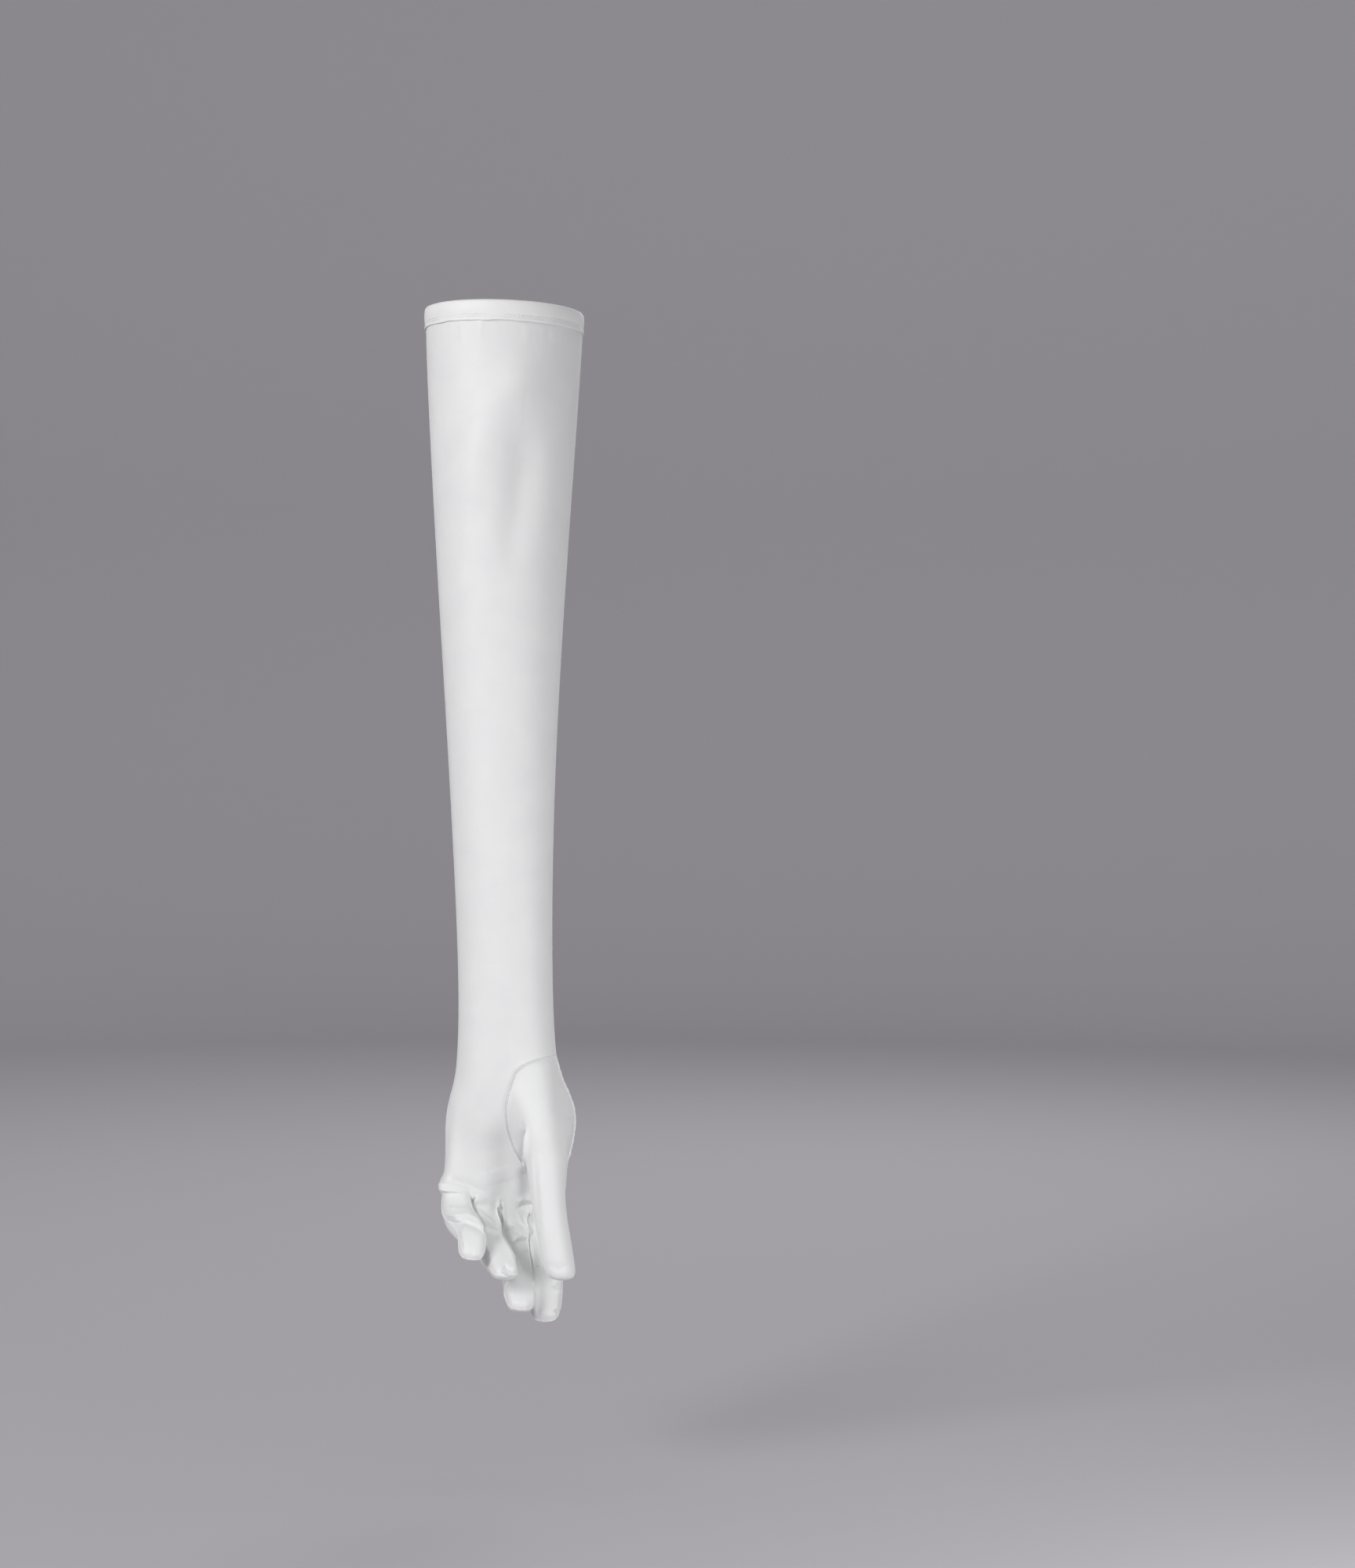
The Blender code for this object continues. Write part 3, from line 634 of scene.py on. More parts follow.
RING_STROKES = (
    Stroke("front", "ring", 1.6, 0.5, 0.9, ((612, 1565), (627, 1569), (641, 1573))),
    Stroke("front", "ring", 0.5, 3.4, -0.9, ((613, 1569), (627, 1573), (641, 1577))),
    Stroke("front", "ring", 1.2, 1.2, 0.6, ((606, 1540), (620, 1552), (632, 1560))),
    Stroke("front", "ring", 0.5, 3.0, 0.5, ((641, 1573), (652, 1590), (662, 1609))),
    Stroke("front", "ring", 0.6, 0.6, 1.2, ((639, 1615), (641, 1622), (648, 1626), (664, 1625))),
    Stroke("front", "ring", 1.1, 1.1, -0.9, ((644, 1612), (647, 1618), (656, 1621))),
)
MIDDLE_STROKES = (
    Stroke("front", "middle", 1.6, 0.6, 0.9, ((642, 1561), (656, 1563), (668, 1569), (677, 1577))),
    Stroke("front", "middle", 0.6, 1.3, -1.1, ((640, 1566), (656, 1568), (670, 1575), (677, 1580))),
    Stroke("front", "middle", 1.0, 0.8, 1.0, ((653, 1584), (660, 1579), (667, 1577), (676, 1579))),
    Stroke("front", "middle", 0.8, 2.8, -0.9, ((650, 1588), (662, 1583), (677, 1583))),
    Stroke("front", "middle", 1.0, 1.0, 0.6, ((660, 1548), (670, 1562), (677, 1576))),
    Stroke("front", "middle", 1.2, 1.2, -0.5, ((664, 1596), (676, 1600), (683, 1607))),
    Stroke("front", "middle", 4.0, 3.0, 0.8, ((655, 1662), (677, 1665))),
)
INDEX_STROKES = (
    Stroke("front", "index", 4.6, 0.35, -1.1, ((682, 1617), (693, 1616.5), (706, 1616.5))),
    Stroke("front", "index", 1.3, 1.3, -1.4, ((704, 1640), (717, 1637))),
    Stroke("front", "index", 0.8, 1.4, 1.0, ((706, 1646), (717, 1648))),
    Stroke("front", "index", 1.0, 1.0, -1.3, ((706, 1671), (718, 1674))),
    Stroke("front", "index", 4.0, 3.0, 0.7, ((686, 1672), (706, 1676))),
)
SLIT_STROKES = (
    Stroke("front", "hand middle index", 2.0, 2.0, 2.0,
           ((675, 1548), (677, 1575), (681, 1600), (683, 1640), (682, 1676))),
    Stroke("front", "hand ring middle", 1.9, 1.9, 1.6,
           ((639, 1548), (641, 1575), (652, 1595), (663, 1615))),
    Stroke("front", "hand little ring", 2.0, 2.0, 1.6, ((604, 1540), (616, 1556), (624, 1572))),
    Stroke("front", "hand ring middle", 1.6, 1.6, 1.6, ((638, 1530), (638.5, 1556), (640, 1574))),
    Stroke("front", "hand middle index", 1.5, 1.5, 1.6, ((676, 1540), (675.5, 1562), (677, 1584))),
)
THUMB_STROKES = (
    Stroke("front", "thumb", 1.3, 0.9, 2.0, ((671.5, 1441), (670.5, 1460), (668, 1488))),
    Stroke("front", "thumb", 0.7, 2.6, -5.0, ((668.6, 1438), (667.2, 1460), (666.0, 1488))),
    Stroke("front", "thumb", 2.6, 1.4, -0.6, ((682, 1470), (682, 1500), (684, 1530), (687, 1562))),
    Stroke("front", "thumb", 1.0, 1.0, -1.2, ((724, 1456), (736, 1459))),
    Stroke("front", "thumb", 1.2, 1.2, 0.7, ((722, 1448), (736, 1446))),
    Stroke("front", "thumb", 1.0, 1.0, -0.7, ((722, 1424), (736, 1427))),
    Stroke("front", "thumb", 1.0, 1.0, -0.6, ((720, 1476), (732, 1480))),
    Stroke("front", "thumb", 2.4, 1.6, -0.35, ((697, 1612), (712, 1619), (730, 1613))),
)
SLEEVE_STROKES = (
    Stroke("front", "sleeve", 20.0, 14.0, -1.7, ((668, 560), (670, 640), (664, 720))),
    Stroke("front", "sleeve", 9.0, 16.0, 1.4, ((580, 620), (630, 520), (700, 430))),
    Stroke("front", "sleeve", 3.0, 9.0, -0.5, ((640, 480), (690, 430), (720, 415))),
    Stroke("front", "sleeve", 1.6, 1.6, 0.35, ((588, 410), (588, 436))),
    Stroke("front", "sleeve", 1.6, 1.6, 0.35, ((614, 404), (613, 430))),
    Stroke("front", "sleeve hand", 10.0, 12.0, 0.5, ((625, 900), (632, 1050), (628, 1250))),
    Stroke("front", "sleeve hand", 6.0, 8.0, -0.35, ((610, 1150), (618, 1300), (640, 1380))),
)
BACK_STROKES = (
    Stroke("back", "hand", 5.0, 3.0, -0.7, ((960, 1530), (1000, 1540), (1060, 1530), (1090, 1520))),
    Stroke("back", "index middle hand", 2.0, 2.0, 0.7, ((1005, 1560), (1006, 1600), (1009, 1632))),
    Stroke("back", "middle ring hand", 1.8, 1.8, 0.6, ((1040, 1560), (1041, 1590), (1040, 1622))),
    Stroke("back", "ring little hand", 1.8, 1.8, 0.6, ((1073, 1550), (1076, 1570), (1080, 1600))),
    Stroke("back", "index", 1.2, 1.2, -0.6, ((955, 1592), (975, 1588), (1000, 1590))),
    Stroke("back", "index", 1.2, 1.2, 0.5, ((957, 1602), (975, 1598), (998, 1600))),
    Stroke("back", "middle", 1.2, 1.2, -0.6, ((1010, 1588), (1024, 1584), (1038, 1588))),
    Stroke("back", "ring", 1.1, 1.1, -0.5, ((1044, 1578), (1058, 1574), (1072, 1580))),
    Stroke("back", "sleeve", 16.0, 12.0, -0.9, ((1010, 560), (1006, 640), (1012, 700))),
    Stroke("back", "sleeve hand", 9.0, 12.0, 0.5, ((1030, 880), (1026, 1080), (1034, 1280))),
)
STROKES = (
    *PALM_STROKES,
    *LITTLE_STROKES,
    *RING_STROKES,
    *MIDDLE_STROKES,
    *INDEX_STROKES,
    *SLIT_STROKES,
    *THUMB_STROKES,
    *SLEEVE_STROKES,
    *BACK_STROKES,
)
print("strokes:", len(STROKES))

# %% [markdown]
# A stroke's places are turned into millimetres on the plane through the glove's middle, and the
# cloth's points are seen on that same plane. The distance between the two gives the height.

# %% Strokes as heights
STROKE_SIDES = {"front": (0, -1, 0), "back": (0, 1, 0)}
BACK_MIRROR = 1665


def seen(points, side):
    """Places in millimetres as the camera sees them, on the plane through the glove's middle."""
    if side == "back":
        return points[:, (0, 2)] * 1000
    eye = np.array((CAMERA_X, CAMERA_Z))
    share = -CAMERA_Y / (points[:, 1] - CAMERA_Y)
    return (eye + (points[:, (0, 2)] - eye) * share[:, None]) * 1000


def picked(stroke):
    """A stroke's places in millimetres, from picture places in pixels. Seen from behind, left and
    right change places."""
    x, y = np.array(stroke.path, float).T
    if stroke.side == "back":
        x = BACK_MIRROR - x
    across = CAMERA_X + (x - PICTURE_WIDTH / 2) * PIXEL
    up = CAMERA_Z - (y - PICTURE_HEIGHT / 2) * PIXEL
    return np.column_stack((across, up)) * 1000


def stroke_heights(surface):
    """How far each point moves along its normal for all the strokes, in metres."""
    heights = np.zeros(len(surface.points))
    for stroke in STROKES:
        facing = surface.normals @ STROKE_SIDES[stroke.side]
        mine = np.isin(surface.part, stroke.parts.split()) & (facing > 0.0)
        flat = seen(surface.points[mine], stroke.side)
        path = picked(stroke)
        lengths = np.linalg.norm(np.diff(path, axis=0), axis=1)
        before = np.concatenate(([0.0], np.cumsum(lengths)))
        nearest = np.full(len(flat), np.inf)
        along = np.zeros(len(flat))
        for i, length in enumerate(lengths):
            away, t = line_distance(flat, path[i], path[i + 1])
            closer = np.abs(away) < np.abs(nearest)
            nearest[closer] = away[closer]
            along[closer] = (before[i] + t[closer] * length) / before[-1]
        fade = smooth(along / 0.3) * smooth((1 - along) / 0.3)
        reach = np.where(nearest > 0, stroke.left, stroke.right)
        shape = np.exp(-((nearest / reach) ** 2)) * mix(0.25, 1.0, fade)
        heights[mine] += stroke.height / 1000 * shape * smooth(facing[mine] * 3)
    return heights


# %% [markdown]
# ## Seams
#
# Along a seam the turned edges inside lift the cloth a little. Each point's distance to the nearest
# seam gives its height on that low ridge. The sewn edges themselves come later, as ribs.

# %% Ridges along the seams
PUCKER_HEIGHT = 0.00009
PUCKERS_BELOW = 0.0115
SEAM_RIDGE = {"thumb": 0.35, "finger": 0.30, "side": 0.15}
SEAM_WIDTH = {"thumb": 1.20, "finger": 1.10, "side": 1.00}


def seam_lines(surface):
    """For each seam, the pairs of point numbers of its edges: {(panel, panel): edges}."""
    ends = np.stack((surface.faces, np.roll(surface.faces, -1, axis=1)), axis=2).reshape(-1, 2)
    panel = np.repeat(surface.panel, 4)
    low, high = ends.min(axis=1), ends.max(axis=1)
    order = np.lexsort((high, low))
    low, high, panel = low[order], high[order], panel[order]
    same = (low[1:] == low[:-1]) & (high[1:] == high[:-1]) & (panel[1:] != panel[:-1])
    seams = {}
    for i in np.flatnonzero(same):
        pair = tuple(sorted((panel[i], panel[i + 1])))
        seams.setdefault(pair, []).append((low[i], high[i]))
    return {pair: np.array(edges) for pair, edges in seams.items()}


def seam_kind(pair, part):
    if "thumb_panel" in pair:
        return "thumb"
    return "side" if part in ("sleeve", "hand") and "palm_panel" in pair else "finger"


def seam_heights(surface, seams):
    """How far each point stands out for the seams' ridges, in metres."""
    ridge = {}
    for pair, edges in seams.items():
        for n in np.unique(edges):
            ridge[n] = seam_kind(pair, surface.part[n])
    tree = kdtree.KDTree(len(ridge))
    names = list(ridge)
    for i, n in enumerate(names):
        tree.insert(surface.points[n], i)
    tree.balance()
    heights = np.zeros(len(surface.points))
    for n, point in enumerate(surface.points):
        _, i, away = tree.find(point)
        away *= 1000
        if away < 4:
            kind = ridge[names[i]]
            shape = math.exp(-((away / SEAM_WIDTH[kind]) ** 2))
            heights[n] = SEAM_RIDGE[kind] / 1000 * shape
    return heights


# %% Puckers, and all heights together
def pucker_heights(surface):
    """Small puckers that run down from the hem's stitches and fade out."""
    low = (-surface.points[:, 2] - HEM_HEIGHT) * 1000
    turns = np.arctan2(surface.points[:, 1], surface.points[:, 0])
    uneven = np.sin(turns * 31 + 1.0) + 0.8 * np.sin(turns * 47 + 2.4) + 0.6 * np.sin(turns * 19)
    fade = smooth((low + 1) / 3) * np.exp(-np.clip(low, 0, None) / 6.0)
    return PUCKER_HEIGHT * uneven * fade * (surface.points[:, 2] < -PUCKERS_BELOW)


def shaped(surface):
    """The surface's points, moved for folds, puckers, strokes and seams."""
    heights = fold_heights(surface) + stroke_heights(surface) + pucker_heights(surface)
    heights += seam_heights(surface, seam_lines(surface))
    return surface.points + surface.normals * heights[:, None]


outside_points = shaped(outside)
inside_points = shaped(inside)
print("moved by up to", round(1000 * np.abs(outside_points - outside.points).max(), 2), "mm")

# %% [markdown]
# ## The panels as closed walls
#
# Each panel is cut out of the surface and made into a wall one millimetre thick: its outside, its
# inside and the strips along its edges. Solidify would give the inside as many points as the
# outside. Here the inside is coarser, and a zip of triangles joins the two edges.

# %% Edges of a panel
def edge_loops(faces):
    """The closed lines of point numbers round the edges of some faces."""
    a = faces.ravel()
    b = np.roll(faces, -1, axis=1).ravel()
    size = int(faces.max()) + 1
    free = ~np.isin(a * size + b, b * size + a)
    after = dict(zip(a[free].tolist(), b[free].tolist()))
    loops = []
    while after:
        first, n = after.popitem()
        loop = [first]
        while n != first:
            loop.append(n)
            n = after.pop(n)
        loops.append(loop)
    return loops


def drawn_in(points, faces, loops, distance):
    """The points with the panel's edges drawn in by a distance."""
    moved = points.copy()
    middles = points[faces].mean(axis=1)
    near = np.zeros_like(points)
    count = np.zeros(len(points))
    for corner in faces.T:
        np.add.at(near, corner, middles)
        np.add.at(count, corner, 1)
    for loop in loops:
        way = near[loop] / count[loop, None] - points[loop]
        run = points[np.roll(loop, -1)] - points[np.roll(loop, 1)]
        run /= np.linalg.norm(run, axis=1)[:, None]
        way -= run * (way * run).sum(axis=1)[:, None]
        way /= np.linalg.norm(way, axis=1)[:, None]
        moved[loop] = points[loop] + way * distance
    return moved


def zip_loops(outer, inner, points):
    """Triangles between two closed lines of point numbers that run side by side."""
    start = np.argmin(np.linalg.norm(points[inner] - points[outer[0]], axis=1))
    inner = list(np.roll(inner, -start))
    outer, inner = outer + outer[:1], inner + inner[:1]

    def shares(line):
        steps = np.linalg.norm(np.diff(points[line], axis=0), axis=1)
        return np.concatenate(([0.0], np.cumsum(steps))) / steps.sum()

    far_out, far_in = shares(outer), shares(inner)
    faces, i, j = [], 0, 0
    while i < len(outer) - 1 or j < len(inner) - 1:
        last_out, last_in = i == len(outer) - 1, j == len(inner) - 1
        if last_in or (not last_out and far_out[i + 1] <= far_in[j + 1]):
            faces.append((outer[i + 1], outer[i], inner[j]))
            i += 1
        else:
            faces.append((outer[i], inner[j], inner[j + 1]))
            j += 1
    return faces


# %% Panels
def add_mesh(name, points, faces):
    """A smooth-shaded mesh object, with its place in its mesh."""
    mesh = bpy.data.meshes.new(name)
    mesh.from_pydata(points, [], faces)
    mesh.shade_smooth()
    mesh.set_sharp_from_angle(angle=math.radians(50))
    piece = bpy.data.objects.new(name, mesh)
    bpy.context.scene.collection.objects.link(piece)
    return piece


def add_panel(name):
    outer = outside.faces[outside.panel == name]
    inner = inside.faces[inside.panel == name]
    outer_loops, inner_loops = edge_loops(outer), edge_loops(inner)
    front = drawn_in(outside_points, outer, outer_loops, SEAM_GAP / 2)
    rear = drawn_in(inside_points, inner, inner_loops, INSIDE_GAP) - inside.normals * WALL
    points = np.concatenate((front, rear))
    first = len(front)
    faces = [tuple(face) for face in outer.tolist()]
    faces += [tuple(first + n for n in reversed(face)) for face in inner.tolist()]
    middles = np.array([rear[loop].mean(axis=0) for loop in inner_loops])
    for loop in outer_loops:
        away = np.linalg.norm(middles - front[loop].mean(axis=0), axis=1)
        partner = [first + n for n in inner_loops[int(np.argmin(away))]]
        faces += zip_loops(loop, partner, points)
    used = sorted({int(n) for face in faces for n in face})
    number = np.zeros(len(points), dtype=np.int64)
    number[used] = np.arange(len(used))
    faces = [tuple(int(number[n]) for n in face) for face in faces]
    return add_mesh(name.replace("_panel", "") + "_cloth", points[used].tolist(), faces)


PANELS = ("palm_panel", "back_panel", "thumb_panel") + tuple(fourchette(n) for n in range(3))
panels = {name: add_panel(name) for name in PANELS}
for name, piece in panels.items():
    print(name, len(piece.data.polygons), "faces")

# %% [markdown]
# ## The hem
#
# The sleeve's top edge is turned over and stitched down. Its section is a flattened loop round the
# edge of the cloth, swept round the mouth. It dips where the two rows of stitches hold it, and puffs
# a little above them.

# %% Hem
HEM_BULGE = 0.00010
HEM_DIP = 0.00014
HEM_SECTION = (
    (0.0002, -0.0100),
    (0.0003, -0.0104),
    (0.0005, -0.0105),
    (0.0007, -0.0102),
    (0.0008, -0.0096),
    (0.0006, -0.0090),
    (0.0005, -0.0085),
    (0.0007, -0.0079),
    (0.0005, -0.0073),
    (0.0007, -0.0065),
    (0.0009, -0.0050),
    (0.0010, -0.0030),
    (0.0009, -0.0012),
    (0.0007, 0.0001),
    (0.0002, 0.0009),
    (-0.0006, 0.0012),
    (-0.0015, 0.0009),
    (-0.0022, 0.0001),
    (-0.0024, -0.0012),
    (-0.0024, -0.0050),
    (-0.0023, -0.0100),
    (-0.0019, -0.0105),
    (-0.0014, -0.0102),
    (-0.0013, -0.0080),
    (-0.0013, 0.0002),
    (-0.0005, 0.0004),
    (0.0002, 0.0002),
    (0.0002, -0.0050),
)


def hem_frame():
    """The points round the mouth, in order, with the ways out of the sleeve."""
    top = np.flatnonzero(np.abs(outside.points[:, 2]) < 1e-6)
    turns = np.arctan2(outside.points[top, 1], outside.points[top, 0])
    top = top[np.argsort(turns)]
    out = outside.normals[top] * (1, 1, 0)
    out /= np.linalg.norm(out, axis=1)[:, None]
    return outside.points[top], out


def add_hem():
    feet, outs = hem_frame()
    count, size = len(feet), len(HEM_SECTION)
    turns = np.arange(count) / count * 2 * math.pi
    wave = np.sin(turns * 9 + 0.6) + 0.6 * np.sin(turns * 17 + 2.0) + 0.4 * np.sin(turns * 29)
    points = []
    for i in range(count):
        for away, up in HEM_SECTION:
            low = smooth(-up / HEM_HEIGHT)
            outer = 1.0 if away > 0 else 0.0
            away = away + HEM_BULGE * wave[i] * low * outer
            up = up + HEM_DIP * wave[i - 7] * low
            points.append(tuple(feet[i] + outs[i] * away + np.array((0, 0, up))))
    faces = []
    for i in range(count):
        j = (i + 1) % count
        for k in range(size):
            m = (k + 1) % size
            faces.append((i * size + k, j * size + k, j * size + m, i * size + m))
    return add_mesh("hem_fold", points, faces)


hem = add_hem()
print("hem:", len(hem.data.polygons), "faces")

# %% [markdown]
# ## The ribs along the seams
#
# Where two panels meet, their cut edges are sewn together and stand up as a narrow double rib. A
# curve with a bevel could draw it, but the rib has to lie on the cloth with its valley upwards. So
# the seam's points are put in order, spaced evenly, and a small section is swept along them with
# the cloth's own normal as its up. The rib swells and thins a little, as hand-fed cloth does.

# %% Lines for the ribs
RIB_WIDTH = {"thumb": 0.00120, "finger": 0.00085, "side": 0.00060}
RIB_HEIGHT = {"thumb": 0.00060, "finger": 0.00038, "side": 0.00012}
RIB_STEP = 0.0007
RIB_SECTION = (
    (-1.00, -0.90),
    (-0.95, 0.20),
    (-0.58, 1.00),
    (-0.12, 0.35),
    (0.12, 0.30),
    (0.55, 0.85),
    (0.95, 0.10),
    (1.00, -0.90),
)
Line = namedtuple("Line", "points normals closed")


def chains(edges):
    """Puts a seam's edges in order: lists of point numbers, the closed ones ending on their first."""
    after = {}
    for a, b in edges:
        after.setdefault(int(a), set()).add(int(b))
        after.setdefault(int(b), set()).add(int(a))
    ordered = []
    ends = [n for n, others in after.items() if len(others) == 1]
    for first in ends + sorted(after):
        if not after[first]:
            continue
        chain, n = [first], first
        while after[n]:
            m = min(after[n])
            after[n].discard(m)
            after[m].discard(n)
            chain.append(m)
            n = m
        ordered.append(chain)
    return ordered


def even_line(chain, step):
    """A seam as evenly spaced points with normals, smoothed so that it runs without kinks."""
    points, normals = outside_points[chain], outside.normals[chain]
    closed = chain[0] == chain[-1]
    lengths = np.linalg.norm(np.diff(points, axis=0), axis=1)
    along = np.concatenate(([0.0], np.cumsum(lengths)))
    places = np.linspace(0.0, along[-1], max(4, int(along[-1] / step)))
    line = np.column_stack([np.interp(places, along, values) for values in (*points.T, *normals.T)])
    for _ in range(6):
        if closed:
            ring = line[:-1]
            ring = (np.roll(ring, 1, axis=0) + 2 * ring + np.roll(ring, -1, axis=0)) / 4
            line = np.concatenate((ring, ring[:1]))
        else:
            line[1:-1] = (line[:-2] + 2 * line[1:-1] + line[2:]) / 4
    normals = line[:, 3:] / np.linalg.norm(line[:, 3:], axis=1)[:, None]
    return Line(line[:, :3], normals, closed)


def run_of(line):
    """The unit vectors along a line."""
    run = np.gradient(line.points, axis=0)
    return run / np.linalg.norm(run, axis=1)[:, None]


# %% Sweep of one rib
def sweep_rib(line, width, height, phase):
    """The points and faces of one closed rib."""
    across = np.cross(run_of(line), line.normals)
    count, size = len(line.points) - (1 if line.closed else 0), len(RIB_SECTION)
    places = np.arange(count) * RIB_STEP * 1000
    swell_by = 1 + 0.16 * np.sin(places * 1.7 + phase) + 0.10 * np.sin(places * 0.63 + 2 * phase)
    if not line.closed:
        swell_by *= 0.25 + 0.75 * smooth(np.minimum(places, places[::-1]) / 2.5)
    points = [
        line.points[i] + swell_by[i] * (across[i] * a * width / 2 + line.normals[i] * u * height)
        for i in range(count)
        for a, u in RIB_SECTION
    ]
    faces = []
    for i in range(count if line.closed else count - 1):
        j = (i + 1) % count
        for k in range(size):
            m = (k + 1) % size
            faces.append((i * size + k, i * size + m, j * size + m, j * size + k))
    if not line.closed:
        faces.append(tuple(reversed(range(size))))
        faces.append(tuple((count - 1) * size + k for k in range(size)))
    return np.array(points), faces


def enclosed(points, faces):
    """The volume inside a closed mesh, below zero where its faces point inwards."""
    total = 0.0
    for face in faces:
        a = points[face[0]]
        for i in range(1, len(face) - 1):
            total += a @ np.cross(points[face[i]], points[face[i + 1]])
    return total / 6


# %% Ribs on all seams
seam_runs = {"thumb": [], "finger": [], "side": []}
for pair, edges in seam_lines(outside).items():
    for chain in chains(edges):
        kinds = [seam_kind(pair, outside.part[n]) for n in chain]
        start = 0
        for i in range(1, len(chain) + 1):
            if i == len(chain) or (kinds[i] != kinds[start] and i - start > 3):
                if i - start > 3:
                    line = even_line(chain[start : min(i + 1, len(chain))], RIB_STEP)
                    seam_runs[kinds[start]].append(line)
                start = i


def add_ribs(kind):
    points, faces = [], []
    for number, line in enumerate(seam_runs[kind]):
        rib_points, rib_faces = sweep_rib(line, RIB_WIDTH[kind], RIB_HEIGHT[kind], number * 1.3)
        if enclosed(rib_points, rib_faces) < 0:
            rib_faces = [tuple(reversed(face)) for face in rib_faces]
        first = len(points)
        points.extend(map(tuple, rib_points))
        faces.extend(tuple(first + n for n in face) for face in rib_faces)
    return add_mesh(f"{kind}_seam_ribs", points, faces)


ribs = {kind: add_ribs(kind) for kind in seam_runs}
for kind, lines in seam_runs.items():
    length = sum(np.linalg.norm(np.diff(line.points, axis=0), axis=1).sum() for line in lines)
    faces = len(ribs[kind].data.polygons)
    print(kind, "seams:", len(lines), "runs,", round(length, 3), "m,", faces, "faces")

# %% [markdown]
# ## The tilt of the mouth
#
# The sleeve's mouth dips a little towards the thumb side. All finished pieces near the mouth are
# sheared down on that side by the same smooth rule, so they still meet.

# %% Tilt of one piece
MOUTH_TILT = 0.030
TILTED_LENGTH = 0.070


def tilt_mouth(piece):
    mesh = piece.data
    places = np.empty(len(mesh.vertices) * 3, dtype=np.float32)
    mesh.vertices.foreach_get("co", places)
    places = places.reshape(-1, 3)
    share = smooth((places[:, 2] + TILTED_LENGTH) / TILTED_LENGTH)
    places[:, 2] -= MOUTH_TILT * places[:, 0] * share
    mesh.vertices.foreach_set("co", places.ravel())
    mesh.update()


# %% [markdown]
# ## Materials
#
# Stretch satin is a warp knit with long floats on its face. The floats run along the glove and give
# a soft, wide highlight. One small function adds a node and its links, and every colour is given as
# the sRGB value that a colour picker shows.

# %% Colours and nodes
def linear(hex_colour):
    """The linear colour of an sRGB hex value such as E8E9EB."""
    values = [int(hex_colour[i : i + 2], 16) / 255 for i in (0, 2, 4)]
    values = [v / 12.92 if v <= 0.04045 else ((v + 0.055) / 1.055) ** 2.4 for v in values]
    return (*values, 1.0)


def add_node(tree, kind, links=None, inputs=None, **settings):
    """Adds a node, sets its properties and inputs, and links its inputs from other sockets."""
    node = tree.nodes.new(kind)
    for name, value in settings.items():
        setattr(node, name, value)
    for name, value in (inputs or {}).items():
        node.inputs[name].default_value = value
    for name, socket in (links or {}).items():
        tree.links.new(socket, node.inputs[name])
    return node


# %% Satin
def satin_material(name, light, shade, roughness):
    """White stretch satin. The knit's ribs are 0.4 mm apart and run along the glove."""
    material = bpy.data.materials.new(name)
    material.use_nodes = True
    tree = material.node_tree
    tree.nodes.clear()
    place = add_node(tree, "ShaderNodeTexCoord").outputs["Object"]
    cloudy = add_node(
        tree, "ShaderNodeTexNoise", {"Vector": place}, {"Scale": 60.0, "Detail": 3.0}
    )
    colour = add_node(
        tree,
        "ShaderNodeMix",
        {"Factor": cloudy.outputs["Fac"]},
        {"A": linear(light), "B": linear(shade)},
        data_type="RGBA",
    )
    stretched = add_node(
        tree, "ShaderNodeMapping", {"Vector": place}, {"Scale": (2400.0, 2400.0, 700.0)}
    )
    floats = add_node(
        tree, "ShaderNodeTexNoise", {"Vector": stretched.outputs[0]}, {"Scale": 1.0, "Detail": 2.0}
    )
    puckers = add_node(
        tree, "ShaderNodeTexNoise", {"Vector": place}, {"Scale": 180.0, "Detail": 2.0}
    )
    rough = add_node(
        tree,
        "ShaderNodeMapRange",
        {"Value": puckers.outputs["Fac"]},
        {"From Min": 0.3, "From Max": 0.7, "To Min": roughness - 0.05, "To Max": roughness + 0.05},
    )
    soft = add_node(
        tree,
        "ShaderNodeBump",
        {"Height": puckers.outputs["Fac"]},
        {"Strength": 0.5, "Distance": 0.0003},
    )
    knit = add_node(
        tree,
        "ShaderNodeBump",
        {"Height": floats.outputs["Fac"], "Normal": soft.outputs["Normal"]},
        {"Strength": 0.35, "Distance": 0.00006},
    )
    shader = add_node(
        tree,
        "ShaderNodeBsdfPrincipled",
        {
            "Base Color": colour.outputs["Result"],
            "Roughness": rough.outputs["Result"],
            "Normal": knit.outputs["Normal"],
        },
        {"Sheen Weight": 0.20, "Sheen Roughness": 0.45, "Specular IOR Level": 0.5},
    )
    add_node(tree, "ShaderNodeOutputMaterial", {"Surface": shader.outputs["BSDF"]})
    return material


# White stretch satin, nylon and elastane warp knit.
satin = satin_material("white_satin", "E7E8E7", "DEDFDF", 0.55)
# The same cloth folded double and pressed. Its colour is a little brighter as painted light, for the
# light that falls on the hem band.
hem_satin = satin_material("hem_satin", "ECECEB", "E4E5E4", 0.52)

for piece in [*panels.values(), *ribs.values()]:
    piece.data.materials.append(satin)
hem.data.materials.append(hem_satin)
print("materials:", satin.name, "and", hem_satin.name)

# %% [markdown]
# ## Stitches
#
# The hem is held by two rows of lockstitch, and fine oversewing crosses each seam rib. A stitch is
# the same small loop of thread hundreds of times over, which is work for Geometry Nodes. The tree
# turns a line into a curve, spaces points along it, and sets a thread on each one. Two attributes
# that are stored on the line, `run` and `out`, turn each thread along the seam and away from the
# cloth. A thread is a small ball of few faces, drawn out long.

